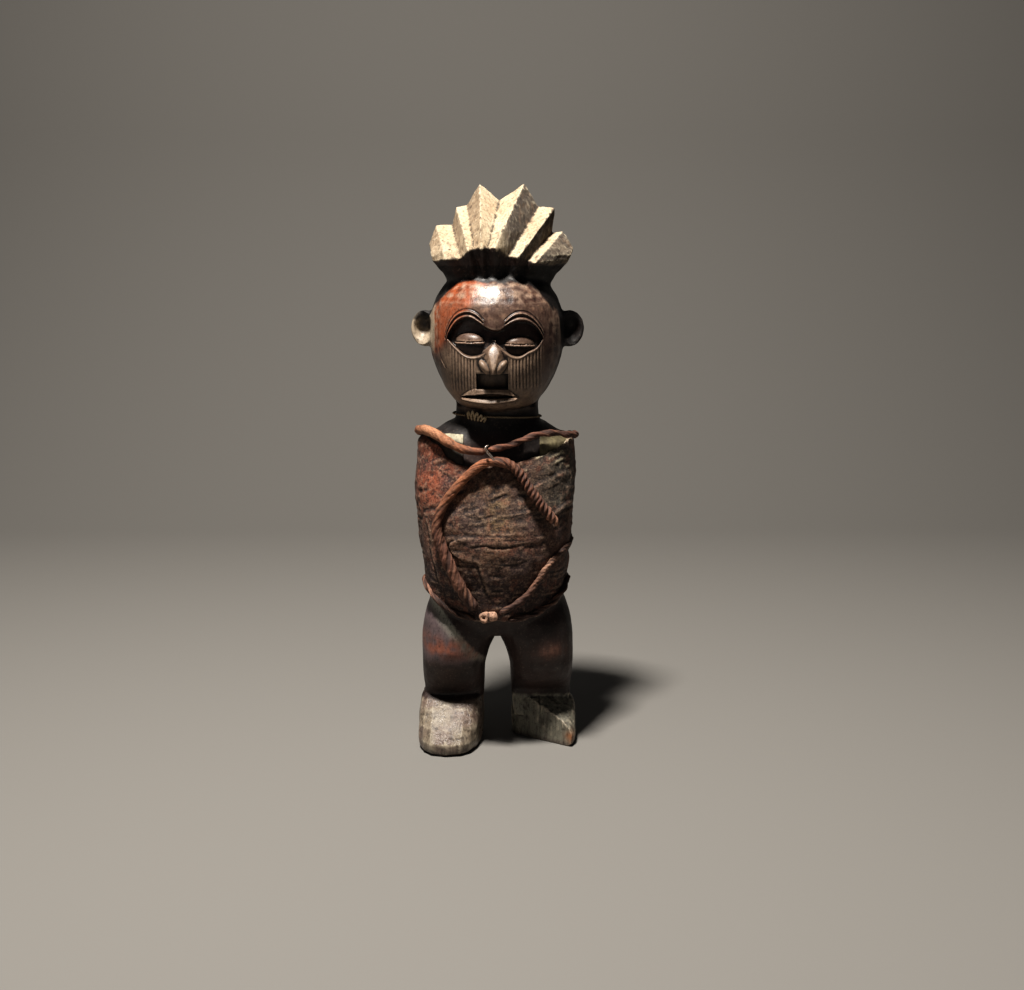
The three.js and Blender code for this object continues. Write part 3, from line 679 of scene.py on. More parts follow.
pores = add_node(wood, "Bump", {"Strength": 0.8, "Distance": 0.0009, "Height": strength})
skin = add_node(
    wood, "Bump", {"Strength": 0.35, "Distance": 0.0005, "Height": fleck, "Normal": pores.outputs[0]},
)
link(wood, skin.outputs["Normal"], shader, "Normal")
figure.data.materials.append(wood)

# Hide wrap
# One stiff sheet of hide, shrunk tight round the torso and crusted with earth and red camwood. Old folds,
# creases and laps run over it, and its cut edges are uneven.

TORSO = {
    "x": [
        (104, 0), (122, 0), (150, -1.5), (172, -1.5), (199, -2), (232, -2.5), (262, -1.5), (284, -1),
        (291, 0), (296, 0),
    ],
    "half": [
        (104, 57), (122, 62), (150, 59), (172, 62), (199, 65), (232, 67), (262, 67), (284, 65), (291, 55),
        (296, 42),
    ],
    "front": [
        (104, 32), (122, 42), (150, 48), (172, 54), (199, 57), (232, 51), (262, 44), (284, 38), (291, 34),
        (296, 33),
    ],
    "back": [
        (104, 40), (122, 46), (150, 44), (172, 43), (199, 44), (232, 46), (262, 46), (284, 43), (291, 38),
        (296, 34),
    ],
    "power": [
        (104, 2.2), (122, 2.2), (150, 2.3), (172, 2.3), (199, 2.3), (232, 2.4), (262, 2.4), (284, 2.4),
        (291, 2.2), (296, 2),
    ],
}
WRAP_OUT = 3.9  # from the wood to the wrap's outer face


def torso_at(degrees, z, grow):
    row = {key: along(np.array([float(z)]), table)[0] for key, table in TORSO.items()}
    a = radians(degrees)

    def bow(t):
        return np.sign(t) * abs(t) ** (2 / row["power"])

    depth = row["front"] if sin(a) < 0 else row["back"]
    return np.array([row["x"] + (row["half"] + grow) * bow(cos(a)), (depth + grow) * bow(sin(a)), z])


def line_groove(x, z, line, width, depth):
    first, last = line[0][0], line[-1][0]
    ends = step(x, first - 3, first + 3) * (1 - step(x, last - 3, last + 3))
    gap = z - along(x, line)
    broken = np.clip(0.55 + noise(np.stack([x, 0 * z, 0 * z], 1), 7, 19), 0.1, 1)
    return 0.55 * ends * broken * depth * (
        0.6 * bump(gap, 1.9 * width, width) - 0.9 * bump(gap, 0, width)
    )


def pits(places, size, seed):
    return 1 - abs(noise(places, size, seed)) * 2


wrap = merged_copy("hide_wrap", "crusted_wrap")
remesh(wrap, 1.3)
places = places_of(wrap)
places = smoothed(wrap, places, np.ones(len(places)), 14)
put(wrap, places)
radial = places * (1 / 62, 1 / 52, 0)
radial /= np.linalg.norm(radial, axis=1)[:, None]
facing = (normals_of(wrap) * radial).sum(1)
outer = step(facing, 0.1, 0.6)
x, y, z = places.T
front = step(-y, 5, 25)
slanted = np.stack([0.35 * x + 0.2 * z, y * 0.35, z - 0.4 * x], 1)
level = np.stack([0.25 * x, y * 0.25, z], 1)
upright = np.stack([x, y, 0.2 * z], 1)
relief = 1.2 * noise(places, 24, 1) + 0.55 * noise(places, 9, 2) + 0.4 * noise(places, 4, 3)
relief += 0.9 * np.clip(pits(slanted, 6, 4), -0.6, 0.4) * step(z, 195, 225)
relief += 0.8 * np.clip(pits(level, 4.5, 5), -0.6, 0.4) * (1 - step(z, 205, 235))
relief += 0.55 * np.clip(pits(upright, 8, 6), -0.6, 0.4) * (1 - step(z, 160, 190))
relief += 0.35 * step(noise(places, 3.4, 7), 0.25, 0.6) * step(noise(places, 17, 8), -0.2, 0.3)
CREASES = [
    (
        [
            (-23, 192.5), (-16.6, 193.7), (-10.6, 194.7), (-4.6, 193.4), (9, 193.3), (16, 194.4),
            (23, 195), (31, 196),
        ],
        1.0, 1.5,
    ),
    (
        [(-30, 221.5), (-20, 218.5), (-13, 217.9), (-6.3, 219.5), (7, 218.4), (14, 219.3), (22, 221.5)],
        0.9, 0.9,
    ),
    ([(-38, 197.9), (-27.8, 199.5), (-6, 200.2), (6, 199.8), (24, 198.2)], 0.7, 0.7),
    ([(-62, 262), (-50, 257), (-40, 251), (-30, 247)], 0.9, 0.8),
    ([(-66, 243), (-56, 240), (-46, 232)], 0.9, 0.9),
    ([(-64, 226), (-56, 224), (-48, 219)], 1.0, 1.0),
    ([(-4, 178.5), (6, 177), (18, 178), (28, 181)], 0.9, 0.8),
    ([(24, 236), (34, 240), (44, 241), (54, 245)], 0.9, 0.7),
    ([(30, 256), (42, 253), (56, 255)], 0.8, 0.6),
]
for line, width, depth in CREASES:
    relief += front * line_groove(x, z, line, width, depth)
lap = along(
    z, [(147, -6), (150, -8.3), (155, -10), (162.5, -12.5), (170, -14.6), (176.5, -16.5), (182, -21)],
)
lap_share = front * step(z, 147, 152) * (1 - step(z, 176, 183))
relief += (
    lap_share
    * (1.3 * step(x - lap, -0.6, 0.6) * (1 - step(x - lap, 1, 16)) - 0.7 * bump(x - lap, -1.4, 1.0))
)
tongue = along(
    z,
    [
        (178, -25), (180.5, -29.7), (182.8, -34), (186.8, -39.3), (191, -41.4), (195.7, -40),
        (199, -35.6), (201, -30),
    ],
)
tongue_share = front * step(z, 178, 181) * (1 - step(z, 199, 202))
relief += (
    tongue_share
    * (
        1.4 * step(x - tongue, -0.5, 0.7) * (1 - step(x - tongue, 2, 16)) - 0.6
        * bump(x - tongue, -1.3, 0.9)
    )
)
fold = along(
    z, [(150, -50), (168, -54), (177, -56.5), (186, -58.2), (195, -58.9), (204, -60.6), (215, -62)],
)
relief += (
    front * step(z, 150, 160) * (1 - step(z, 204, 212))
    * (1.2 * bump(x - fold, 2.4, 2.2) - 1.2 * bump(x - fold, -0.6, 1.2))
)
strip = along(x, [(46, 218), (51, 220.6), (55, 222.8), (58, 224.3), (64, 225)])
strip_share = front * step(x, 46, 50)
relief += strip_share * (1.8 * bump(z - strip, 0, 2.6) - 1.2 * bump(z - strip, -4.2, 1.6))
relief += 2.2 * bump(z, 187, 4) * step(x, 58, 65) - 1.6 * bump(z, 178, 3.5) * step(x, 58, 66)
places = places + radial * (outer * relief)[:, None]
around = np.stack([x, y, 0 * z], 1)
ragged = 1.3 * noise(around, 9, 11) + 0.8 * noise(around, 3.5, 12)
hem = 1 - step(z, 124 + 26 * abs(x / 64) ** 3.5, 134 + 26 * abs(x / 64) ** 3.5)
rim = step(z, 250, 262) * front
places[:, 2] += ragged * np.maximum(hem, 0.6 * rim)
put(wrap, places)
bpy.ops.object.shade_smooth()
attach(wrap, "root")
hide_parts("hide_wrap")


x, y, z = places.T
high, low = convexity(wrap, places, 3), convexity(wrap, places, 12)
mottle, patches, specks = noise(places, 7, 21), noise(places, 20, 22), noise(places, 2.6, 23)
colours = np.tile((0.10, 0.045, 0.03), (len(places), 1))
orange = bump(x, -60, 26) * step(z, 205, 245) * front
colours = blended(colours, (0.34, 0.09, 0.042), orange * (0.9 + 0.6 * mottle))
green = bump(x, 54, 24) * step(z, 205, 235) * front
colours = blended(colours, (0.075, 0.072, 0.056), green * (1.0 + 0.5 * patches))
olive = bump(x, -2, 30) * bump(z, 214, 30) * front
colours = blended(colours, (0.17, 0.115, 0.055), olive * (0.7 + 0.8 * mottle))
colours = blended(
    colours, (0.20, 0.09, 0.06), bump(x, 2, 34) * bump(z, 197, 12) * front * (0.7 + 0.6 * patches),
)
# Painted shade: the wrap is painted darker below the belly, where it turns under.
colours = blended(colours, (0.036, 0.019, 0.018), (1 - step(z, 152, 186)) * 0.8)
colours = blended(colours, (0.04, 0.026, 0.03), step(patches, 0.0, 0.5) * 0.55)
colours = blended(colours, (0.24, 0.09, 0.055), step(mottle + 0.5 * specks, 0.25, 0.7) * 0.5)
colours = blended(colours, (0.022, 0.013, 0.012), step(-high, 0.015, 0.12) * 0.9)
colours = blended(colours, (0.30, 0.20, 0.14), step(high, 0.02, 0.15) * 0.55)
cut = front * step(x, 18, 24) * (high > 0.12) * (z > 258)
colours = blended(colours, (0.42, 0.37, 0.26), cut * 0.8)
paint(wrap, "tone", np.clip(colours, 0.004, 1))

crust, shader = new_material("earth_crusted_hide")
at = add_node(crust, "TexCoord").outputs["Object"]
tone = add_node(crust, "Attribute", attribute_name="tone").outputs["Color"]
grit = fine_noise(crust, at, 1.6)
specks = fine_noise(crust, at, 4.5, 6.0, 0.75)
bright = mixed(crust, 0.55, tone, (0.42, 0.30, 0.21, 1))
tone = mixed(crust, ramp(crust, specks, 0.36, 0.48, 0.8, 0.0), tone, (0.014, 0.008, 0.008, 1))
tone = mixed(crust, ramp(crust, specks, 0.55, 0.66, 0.0, 0.6), tone, bright)
tone = mixed(crust, ramp(crust, grit, 0.36, 0.5, 0.7, 0.0), tone, (0.010, 0.006, 0.006, 1))
tone = mixed(crust, ramp(crust, grit, 0.56, 0.68, 0.0, 0.6), tone, bright)
link(crust, tone, shader, "Base Color")
link(crust, ramp(crust, specks, 0.35, 0.7, 0.62, 0.9), shader, "Roughness")
lumps = add_node(crust, "Bump", {"Strength": 0.9, "Distance": 0.0016, "Height": specks})
grain = add_node(
    crust, "Bump", {"Strength": 0.8, "Distance": 0.0005, "Height": grit, "Normal": lumps.outputs[0]},
)
link(crust, grain.outputs["Normal"], shader, "Normal")
wrap.data.materials.append(crust)

# Inner hide
# A paler, cleaner hide under the wrap, whose two front edges stand up at the shoulders like flaps.

inner = merged_copy("inner_hide", "pale_inner_hide")
remesh(inner, 0.8)
places = places_of(inner)
places = smoothed(inner, places, np.ones(len(places)), 6)
put(inner, places)
places[:, 2] += 0.8 * noise(np.stack([places[:, 0], places[:, 1], 0 * places[:, 2]], 1), 8, 31)
radial = places * (1 / 62, 1 / 52, 0)
radial /= np.linalg.norm(radial, axis=1)[:, None]
shown = step((normals_of(inner) * radial).sum(1), 0.2, 0.7)
wave = np.stack([places[:, 0], places[:, 1], 0.3 * places[:, 2]], 1)
places = places + radial * (shown * (0.35 * noise(wave, 6, 32) + 0.15 * noise(wave, 2.2, 33)))[:, None]
put(inner, places)
bpy.ops.object.shade_smooth()
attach(inner, "root")
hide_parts("inner_hide")
stained = noise(places, 6, 34)
edge_light = step(places[:, 2], 284, 287)
colours = np.tile((0.22, 0.185, 0.10), (len(places), 1))
colours = blended(colours, (0.11, 0.09, 0.05), 0.5 + 0.6 * stained)
colours = blended(colours, (0.42, 0.38, 0.26), edge_light * 0.8)
left_end = 1 - step(places[:, 0], -30, -10)
colours = blended(colours, (0.46, 0.42, 0.31), 0.8 * left_end)
# Painted shadow: under the collar the left end is painted near black, as the collar's shadow.
colours = blended(
    colours, (0.02, 0.014, 0.012),
    left_end * (1 - step(places[:, 2] + 0.25 * (places[:, 0] + 36), 281.5, 283)),
)
paint(inner, "tone", np.clip(colours, 0.004, 1))
rawhide, shader = new_material("pale_rawhide")
at = add_node(rawhide, "TexCoord").outputs["Object"]
tone = add_node(rawhide, "Attribute", attribute_name="tone").outputs["Color"]
stretched = add_node(rawhide, "Mapping", {"Vector": at, "Scale": (1, 1, 0.3)}).outputs["Vector"]
streaks = fine_noise(rawhide, stretched, 2.5)
tone = mixed(rawhide, ramp(rawhide, streaks, 0.35, 0.6, 0.6, 0.0), tone, (0.05, 0.04, 0.02, 1))
link(rawhide, tone, shader, "Base Color")
shader.inputs["Roughness"].default_value = 0.7
bumpy = add_node(rawhide, "Bump", {"Strength": 0.7, "Distance": 0.0006, "Height": streaks})
link(rawhide, bumpy.outputs["Normal"], shader, "Normal")
inner.data.materials.append(rawhide)

# Collar cord
# Strips of hide rolled and twisted into a cord, laid round the shoulders like a collar. Both ends are held
# by the pin on the chest.

WRAP_SKIN = BVHTree.FromPolygons(
    [tuple(p) for p in places_of(wrap)], [tuple(face.vertices) for face in wrap.data.polygons]
)


def on_body(degrees, z, lift):
    here = torso_at(degrees, z, WRAP_OUT)
    side = torso_at(degrees + 1, z, WRAP_OUT) - torso_at(degrees - 1, z, WRAP_OUT)
    up = torso_at(degrees, z + 1, WRAP_OUT) - torso_at(degrees, z - 1, WRAP_OUT)
    out = np.cross(side, up)
    out /= np.linalg.norm(out)
    met = WRAP_SKIN.ray_cast(Vector(here + 20 * out), Vector(-out), 28)[0]
    base = here if met is None else np.array(met)
    return base + lift * out


def on_front(x, z, lift):
    row = {key: along(np.array([float(z)]), TORSO[key])[0] for key in ("x", "half", "power")}
    share = (x - row["x"]) / (row["half"] + WRAP_OUT)
    cosine = np.sign(share) * abs(share) ** (row["power"] / 2)
    return on_body(360 - np.degrees(np.arccos(cosine)), z, lift)


def smooth_route(points, spacing, rounds=2):
    points = np.array(points, float)
    for _ in range(rounds):
        points[1:-1] = 0.5 * points[1:-1] + 0.25 * (points[:-2] + points[2:])
    far = np.concatenate([[0], np.cumsum(np.linalg.norm(np.diff(points, axis=0), axis=1))])
    s = np.linspace(0, far[-1], int(far[-1] / spacing) + 1)
    return s, np.stack([along(s, list(zip(far, points[:, k]))) for k in range(3)], 1)


def wound(turn, strands, thick):
    part = ((turn * strands / (2 * pi) + 0.5) % 1 - 0.5) * 2 * pi / strands
    off = 1 - thick
    return off * np.cos(part) + np.sqrt(np.maximum(thick**2 - (off * np.sin(part)) ** 2, 0.004)) - 1


def rope(name, s, route, radius, winds, folds, seed, sides=36, fibre=0.14):
    data = bpy.data.curves.new(name, "CURVE")
    data.dimensions = "3D"
    data.bevel_depth = MM
    data.bevel_resolution = (sides - 4) // 2
    data.twist_mode = "MINIMUM"
    path = data.splines.new("POLY")
    path.points.add(len(route) - 1)
    at = (route + AXIS_MM) * MM
    path.points.foreach_set("co", np.concatenate([at, np.ones((len(at), 1))], 1).ravel())
    line = np.stack([s, 0 * s, 0 * s], 1)
    radius = radius * (1 + 0.07 * noise(line, 11, seed) + 0.04 * noise(line, 4, seed + 9))
    path.points.foreach_set("radius", np.maximum(radius, 0.02))
    piece = bpy.data.objects.new(name, data)
    bpy.context.collection.objects.link(piece)
    only(piece)
    bpy.ops.object.convert(target="MESH")
    piece = bpy.context.object
    rings = len(route)
    sides = len(piece.data.vertices) // rings
    grid = places_of(piece).reshape(rings, sides, 3)
    out = grid - route[:, None]
    size = np.linalg.norm(out, axis=2)
    gap = np.diff(s, prepend=0)
    angle = 2 * pi * np.arange(sides)[None] / sides
    flat = np.stack(
        [3 * np.cos(angle) + 0 * s[:, None], 3 * np.sin(angle) + 0 * s[:, None], s[:, None] + 0 * angle],
        2,
    )
    uneven = noise(flat.reshape(-1, 3), 5, seed + 4).reshape(rings, sides)
    inward = np.zeros((rings, sides))
    for strands, thick, lead, depth in winds:
        lead = lead * (1 + 0.2 * noise(line, 17, seed + 5 + strands))
        turn = angle - 2 * pi * np.cumsum(gap / lead)[:, None]
        share = np.broadcast_to(depth, s.shape)[:, None] * np.clip(0.85 + 0.6 * uneven, 0, 1.3)
        inward += share * wound(turn + 0.25 * uneven, strands, thick)
    lead = winds[0][2]
    turn = angle - 2 * pi * np.cumsum(gap / lead)[:, None]
    ball = np.stack(
        [radius[:, None] * np.cos(turn), radius[:, None] * np.sin(turn), 0.11 * s[:, None] + 0 * turn], 2,
    )
    ball = ball.reshape(-1, 3)
    crease = (
        np.clip(1 - 3.2 * abs(noise(ball, 3.4, seed + 6)), 0, 1)
        + 0.6 * np.clip(1 - 4 * abs(noise(ball, 1.7, seed + 7)), 0, 1)
    )
    crease = crease.reshape(rings, sides) * np.broadcast_to(folds, s.shape)[:, None]
    hair = noise(ball, 0.8, seed + 1) + 0.7 * noise(ball, 0.45, seed + 2)
    rough = noise(flat.reshape(-1, 3), 1.8, seed + 3) + 0.6 * noise(flat.reshape(-1, 3), 0.9, seed + 8)
    extra = (fibre * hair + 0.13 * rough).reshape(rings, sides) - crease
    grow = (size * (1 + inward) + extra * np.minimum(size / 2, 1)) / np.maximum(size, 1e-6)
    put(piece, (route[:, None] + out * grow[:, :, None]).reshape(-1, 3))
    paint(piece, "along_cord", np.repeat(s, sides))
    # Painted shade: the grooves between the strands, darkened in the material.
    paint(piece, "groove_shade", np.clip(1.8 * -inward + 0.9 * crease, 0, 1).ravel())
    paint(piece, "fibres", np.clip(hair * 0.45 + 0.5, 0, 1).reshape(rings, sides).ravel())
    only(piece)
    bpy.ops.object.mode_set(mode="EDIT")
    bpy.ops.mesh.select_all(action="SELECT")
    bpy.ops.mesh.remove_doubles(threshold=0.00003)
    bpy.ops.mesh.normals_make_consistent(inside=False)
    bpy.ops.object.mode_set(mode="OBJECT")
    bpy.ops.object.shade_smooth()
    return piece


def taper(s, start, end, power=0.5):
    return np.clip((s + 0.01) / start, 0, 1) ** power * np.clip((s[-1] - s + 0.01) / end, 0, 1) ** power


COLLAR = [
    (-9.5, -50.5, 275), (-15, -50.5, 274.8), (-21, -49.8, 274.4), (-29, -48, 276.2), (-35, -46.5, 278.4),
    (-40, -44.8, 281), (-45, -42, 284), (-51, -37.5, 287.5), (-57, -32, 290.5), (-64, -24, 291.5),
    (-71, -8, 289.5), (-75, 12, 284), (-62, 39, 279), (-36, 51, 275), (-8, 54.5, 273), (24, 53.5, 274),
    (53, 43.5, 278), (70.5, 21, 281), (74, -2, 283.5), (68, -22, 285), (62, -29.5, 286.5),
    (55, -34.5, 288.5),
    (47, -38, 290), (38, -41.5, 290), (30, -44.5, 288), (23, -46.5, 285), (16, -48, 282),
    (10, -49, 279.5),
    (5, -50, 278.6), (-2, -50.2, 278), (-8, -50.6, 277),
]
s, route = smooth_route(COLLAR, 0.6)
wide = along(
    s,
    [
        (0, 3.3), (14, 3.6), (30, 4.3), (48, 4.7), (64, 4.4), (90, 4.0), (200, 3.8), (s[-1] - 80, 3.5),
        (s[-1] - 40, 3.1), (s[-1] - 12, 3.1), (s[-1], 2.9),
    ],
)
twist = along(
    s, [(0, 0.3), (40, 0.1), (75, 0.1), (110, 0.5), (s[-1] - 70, 0.75), (s[-1] - 30, 0.8), (s[-1], 0.4)],
)
lead = along(s, [(0, 50), (80, 60), (120, 40), (s[-1] - 60, 34), (s[-1], 34)])
folds = along(s, [(0, 0.4), (25, 0.35), (75, 0.3), (110, 0.5), (s[-1], 0.4)])
collar = rope(
    "collar_cord_twisted", s, route, wide * taper(s, 3, 3), [(2, 0.62, lead, twist)], folds, 100,
)
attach(collar, "root")
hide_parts("collar_cord")


def cord_material(name, pale, middle, dark):
    material, shader = new_material(name)
    at = add_node(material, "TexCoord").outputs["Object"]
    groove_shade = add_node(material, "Attribute", attribute_name="groove_shade").outputs["Fac"]
    fibres = add_node(material, "Attribute", attribute_name="fibres").outputs["Fac"]
    tone = add_node(material, "Attribute", attribute_name="tone").outputs["Color"]
    blotch = fine_noise(material, at, 9)
    grit = fine_noise(material, at, 1.3)
    tone = mixed(material, ramp(material, blotch, 0.42, 0.62, 0.0, 0.55), tone, dark)
    tone = mixed(material, ramp(material, fibres, 0.45, 0.95, 0.0, 0.45), tone, pale)
    tone = mixed(material, ramp(material, fibres, 0.1, 0.45, 0.6, 0.0), tone, dark)
    # Painted shade: the grooves between the strands are painted dark.
    tone = mixed(material, ramp(material, groove_shade, 0.1, 0.6, 0.0, 0.85), tone, dark)
    tone = mixed(material, ramp(material, grit, 0.35, 0.55, 0.45, 0.0), tone, middle)
    link(material, tone, shader, "Base Color")
    shader.inputs["Roughness"].default_value = 0.78
    bumpy = add_node(material, "Bump", {"Strength": 0.7, "Distance": 0.0005, "Height": grit})
    link(material, bumpy.outputs["Normal"], shader, "Normal")
    return material


cord_hide = cord_material(
    "twisted_hide", (0.44, 0.235, 0.14, 1), (0.08, 0.032, 0.018, 1), (0.022, 0.010, 0.008, 1),
)


def dress_cord(piece, stops):
    far = np.empty(len(piece.data.vertices))
    piece.data.attributes["along_cord"].data.foreach_get("value", far)
    levels = [s for s, _ in stops]
    tone = np.stack([np.interp(far, levels, [colour[k] for _, colour in stops]) for k in range(3)], 1)
    paint(piece, "tone", tone)
    piece.data.materials.append(cord_hide)


ORANGE = (0.34, 0.125, 0.055)
BROWN = (0.15, 0.055, 0.032)
DARK = (0.028, 0.014, 0.011)
PINK = (0.42, 0.24, 0.16)
end = s[-1]
# Painted light: the collar is painted pale orange where it crosses the lit left shoulder.
dress_cord(
    collar,
    [
        (0, BROWN), (20, ORANGE), (60, (0.50, 0.24, 0.13)), (80, ORANGE), (120, BROWN), (end - 60, BROWN),
        (end, (0.30, 0.12, 0.07)),
    ],
)

# Chest cord
# The thickest cord: one length laid over the pin like an upturned V. Its short end lies free on the right
# breast and is worn pale. The long end goes down the left side to the knot.

CHEST = [
    (48.5, 209.5), (43, 217.5), (39, 223), (35, 228.5), (31, 234.5), (27, 240.5), (24, 247),
    (20.5, 252.5),
    (17.5, 257.5), (13.5, 262), (8.5, 264.5), (2.5, 265.5), (-3.5, 266), (-8.5, 265.5), (-12.5, 263.5),
    (-17, 261),
    (-26.5, 252.5), (-36.5, 241.5), (-43, 232), (-48, 222), (-50, 212.5), (-50.5, 206.5), (-49, 200),
    (-44, 188),
    (-39.5, 176), (-34.5, 164.5), (-28, 151.5), (-22, 141.5), (-18, 137),
]
s, route = smooth_route([on_front(x, z, 4.6 + 1.8 * (x > -20) * (z > 205)) for x, z in CHEST], 0.5)
wide = along(
    s,
    [
        (0, 3.8), (10, 4.6), (25, 5.0), (50, 5.0), (75, 4.7), (95, 4.1), (120, 3.9), (150, 4.1),
        (175, 4.8), (200, 5.4), (235, 5.4), (260, 4.9), (s[-1], 3.8),
    ],
)
wrung = along(
    s, [(0, 0.2), (60, 0.5), (85, 0.5), (120, 0.2), (150, 0.3), (168, 0.8), (190, 1.25), (s[-1], 1.2)],
)
ribbed = along(s, [(0, 0.75), (40, 0.85), (62, 0.6), (80, 0.1), (100, 0), (s[-1], 0)])
lead = along(s, [(0, 26), (60, 34), (95, 60), (150, 60), (175, 46), (s[-1], 40)])
folds = along(s, [(0, 0.25), (55, 0.6), (85, 0.7), (120, 0.4), (160, 0.5), (s[-1], 0.55)])
winds = [(4, 0.66, lead, wrung), (2, 0.66, 9.5 + 0 * s, ribbed)]
chest = rope("chest_cord_twisted", s, route, wide * taper(s, 9, 3), winds, folds, 200, 44)
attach(chest, "root")
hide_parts("chest_cord")
end = s[-1]
dress_cord(
    chest,
    [
        (0, PINK), (10, (0.34, 0.16, 0.10)), (30, BROWN), (75, (0.22, 0.085, 0.045)), (95, ORANGE),
        (135, ORANGE), (160, BROWN), (200, (0.21, 0.09, 0.06)), (end - 25, (0.20, 0.09, 0.06)),
        (end, DARK),
    ],
)

# Side cord
# A thinner cord from the knot up the belly and round the right side to the back, where its end is tucked
# under the hip cord.

SIDE_FRONT = [
    (1.5, 133.5), (5, 135.5), (10, 137.5), (15, 141), (20, 144), (24.5, 148), (28, 152.5), (33, 161),
    (38, 169.5),
    (44, 178.5), (49, 184),
]
SIDE_BACK = [(334, 189), (350, 191), (10, 191), (32, 189), (55, 183), (80, 174), (100, 166)]
points = [on_front(x, z, 3.4) for x, z in SIDE_FRONT] + [on_body(d, z, 3.4) for d, z in SIDE_BACK]
s, route = smooth_route(points, 0.6)
wide = along(s, [(0, 2.6), (20, 2.9), (45, 2.9), (65, 2.6), (85, 2.5), (s[-1], 2.6)])
winds = [
    (2, 0.64, 30 + 0 * s, along(s, [(0, 0.5), (40, 0.5), (90, 0.7), (s[-1], 0.9)])),
    (2, 0.7, 7 + 0 * s, along(s, [(0, 0), (35, 0.1), (50, 0.5), (80, 0.5), (100, 0), (s[-1], 0)])),
]
side = rope("side_cord_twisted", s, route, wide * taper(s, 3, 4), winds, 0.3, 300, 28)
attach(side, "root")
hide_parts("side_cord")
# Painted shade: near the knot and from the right side round the back the cord is painted dark; only the
# stretch up the right of the belly is light.
dress_cord(
    side,
    [
        (0, (0.06, 0.028, 0.022)), (28, (0.08, 0.038, 0.03)), (42, (0.24, 0.12, 0.08)),
        (66, (0.42, 0.24, 0.16)), (71, (0.30, 0.16, 0.11)), (76, DARK), (s[-1], DARK),
    ],
)

# Hip cord
# A cord tied round the hips along the wrap's hem, from the knot round the back to the knot again.

HIP = [
    256, 243, 230, 217, 204, 190, 172, 150, 125, 100, 75, 50, 30, 10, 352, 340, 328, 315, 300, 287, 276,
]
points = []
for degrees in HIP:
    across = 67 * cos(radians(degrees))
    points.append(on_body(degrees, 127 + 26 * abs(across / 64) ** 3.5, 3.6))
s, route = smooth_route(points, 0.6)
hip = rope(
    "hip_cord_twisted", s, route, 2.9 * taper(s, 3, 3), [(2, 0.56, 44 + 0 * s, 0.9)], 0.45, 400, 30,
)
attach(hip, "root")
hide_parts("hip_cord")
# Painted shade: on either side of the knot the cord is painted dark, in the belly's shadow; it is lighter on
# the left hip.
dress_cord(
    hip,
    [
        (0, DARK), (38, DARK), (48, (0.28, 0.14, 0.10)), (72, (0.28, 0.14, 0.10)), (90, BROWN),
        (s[-1] - 90, DARK), (s[-1] - 40, (0.09, 0.045, 0.038)), (s[-1], DARK),
    ],
)

# Belly knot
# The knot under the belly where the cords meet. Two short ends stand out of it side by side, the left one
# rolled round a hole.

at = on_front(-7.5, 131, 4.6)
bpy.ops.mesh.primitive_torus_add(
    major_radius=2.9 * MM, minor_radius=1.9 * MM, major_segments=40, minor_segments=20,
    location=(at + AXIS_MM + (-3.8, -0.6, -0.4)) * MM, rotation=(radians(82), 0, radians(-14)),
)
knot = bpy.context.object
bpy.ops.mesh.primitive_uv_sphere_add(
    segments=40, ring_count=24, radius=4.4 * MM, location=(at + AXIS_MM + (3.4, 0, 0.3)) * MM,
)
lobe = bpy.context.object
lobe.scale = (1.1, 0.95, 0.95)
bpy.ops.mesh.primitive_uv_sphere_add(
    segments=40, ring_count=24, radius=4.6 * MM, location=(at + AXIS_MM + (-1.4, 2.2, 0)) * MM,
)
root_ball = bpy.context.object
root_ball.scale = (1.25, 0.8, 0.9)
for part in (lobe, root_ball):
    part.select_set(True)
knot.select_set(True)
bpy.context.view_layer.objects.active = knot
bpy.ops.object.join()
bpy.ops.object.transform_apply(location=True, rotation=True, scale=True)
knot.name = "belly_knot_tied"
remesh(knot, 0.35)
places = places_of(knot)
places = smoothed(knot, places, np.ones(len(places)), 3)
put(knot, places)
relief = (
    0.5 * noise(places, 3.2, 41) + 0.25 * noise(places, 1.3, 42)
    - 0.8 * bump(places[:, 0], at[0] - 0.2, 0.8)
)
places = places + normals_of(knot) * relief[:, None]
put(knot, places)
bpy.ops.object.shade_smooth()
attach(knot, "root")
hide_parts("belly_knot")
# Painted shade in the knot's folds.
bend = convexity(knot, places, 6)
paint(knot, "groove_shade", step(-bend, 0.02, 0.2))
paint(knot, "fibres", 0.5 + 0.5 * noise(places, 1.1, 43))
paint(knot, "tone", np.tile((0.55, 0.34, 0.24), (len(places), 1)))
knot.data.materials.append(cord_hide)

# Chest pin
# A hairpin of thin iron wire, pushed through the cords where they cross on the chest. Its upper end is bent
# over.


def wire(name, points, radius, sides=14):
    s, route = smooth_route(points, 0.3, 1)
    return rope(
        name, s, route, radius * taper(s, 0.5, 0.5), [(2, 0.9, 30 + 0 * s, 0)], 0, 500, sides, 0.03,
    )


PIN = [
    (-7.5, -57.5, 281), (-9.6, -58.5, 281.2), (-11, -59, 279.6), (-9, -59.6, 277), (-6, -60, 273.5),
    (-2.2, -59.6, 269),
]
pin_parts = []
for shift in (-0.45, 0.45):
    pin_parts.append(wire("pin_wire", [(x + shift, y - 0.4, z + 0.8 * shift) for x, y, z in PIN], 0.46))
only(pin_parts[0])
pin_parts[1].select_set(True)
bpy.ops.object.join()
pin = bpy.context.object
pin.name = "chest_pin_wire"
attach(pin, "root")
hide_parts("chest_pin")
iron, shader = new_material("worn_iron")
at = add_node(iron, "TexCoord").outputs["Object"]
rust = fine_noise(iron, at, 2.0)
link(
    iron, mixed(iron, ramp(iron, rust, 0.4, 0.6), (0.62, 0.58, 0.54, 1), (0.22, 0.14, 0.10, 1)), shader,
    "Base Color",
)
shader.inputs["Metallic"].default_value = 0.9
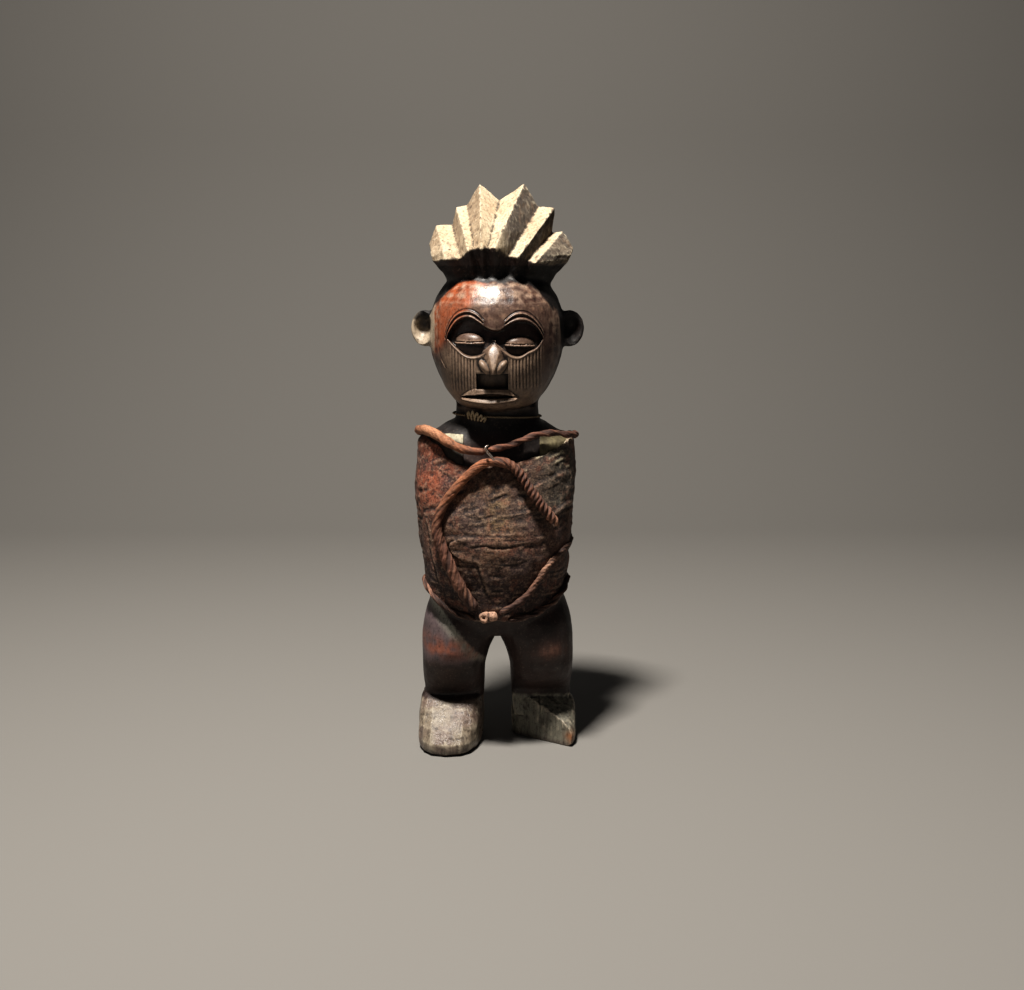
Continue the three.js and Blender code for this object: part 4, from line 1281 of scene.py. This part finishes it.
link(iron, ramp(iron, rust, 0.4, 0.6, 0.32, 0.65), shader, "Roughness")
pin.data.materials.append(iron)

# Neck string
# A thin string of plant fibre round the neck. A tuft of loops stands out where it is tied in front.

ring = []
for i in range(49):
    a = radians(236 + 350 * i / 48)
    lift = 0.5 + 1.2 + 0.3
    half, front_deep, back_deep = 37 + lift, 34 + lift, 36 + lift
    deep = front_deep if sin(a) < 0 else back_deep
    ring.append((half * cos(a), deep * sin(a), 301 + 2.2 * cos(2 * pi * i / 48)))
s, route = smooth_route(ring, 0.5, 1)
string = rope(
    "neck_string_fibre", s, route, 0.9 * taper(s, 1, 1), [(2, 0.56, 5 + 0 * s, 1)], 0, 600, 14, 0.08,
)
loops = []
LOOPS = [(-23, -1.8, 8.5), (-20.5, -0.6, 9.5), (-18, 0.8, 8.5), (-15.5, 2.0, 6.5), (-13, 2.6, 4.5)]
for i, (x, lean, tall) in enumerate(LOOPS):
    y = -sqrt(max(36**2 - (x * 36 / 38.5) ** 2, 0)) - 1.2
    z = 300.5 - 0.35 * i
    loops.append(
        wire(
            "loop",
            [
                (x - 1.6, y, z), (x - 1.2 + lean, y - 1.8, z + 0.6 * tall), (x + lean, y - 2.4, z + tall),
                (x + 1.1 + lean, y - 1.6, z + 0.5 * tall), (x + 1.4, y, z - 1),
            ],
            0.85,
        )
    )
only(string)
for loop in loops:
    loop.select_set(True)
bpy.ops.object.join()
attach(string, "root")
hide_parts("neck_string")
fibre, shader = new_material("plant_fibre_string")
at = add_node(fibre, "TexCoord").outputs["Object"]
groove_shade = add_node(fibre, "Attribute", attribute_name="groove_shade").outputs["Fac"]
tuft = fine_noise(fibre, at, 1.2)
tone = mixed(fibre, ramp(fibre, tuft, 0.4, 0.6), (0.30, 0.23, 0.14, 1), (0.52, 0.44, 0.30, 1))
# Painted shade in the string's grooves.
link(
    fibre, mixed(fibre, ramp(fibre, groove_shade, 0.1, 0.6), tone, (0.08, 0.05, 0.03, 1)), shader, "Base Color",
)
shader.inputs["Roughness"].default_value = 0.8
string.data.materials.append(fibre)

boxes = {"cad": cad_box, "visual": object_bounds()}
boxes = {name: [list(corner) for corner in box] for name, box in boxes.items()}
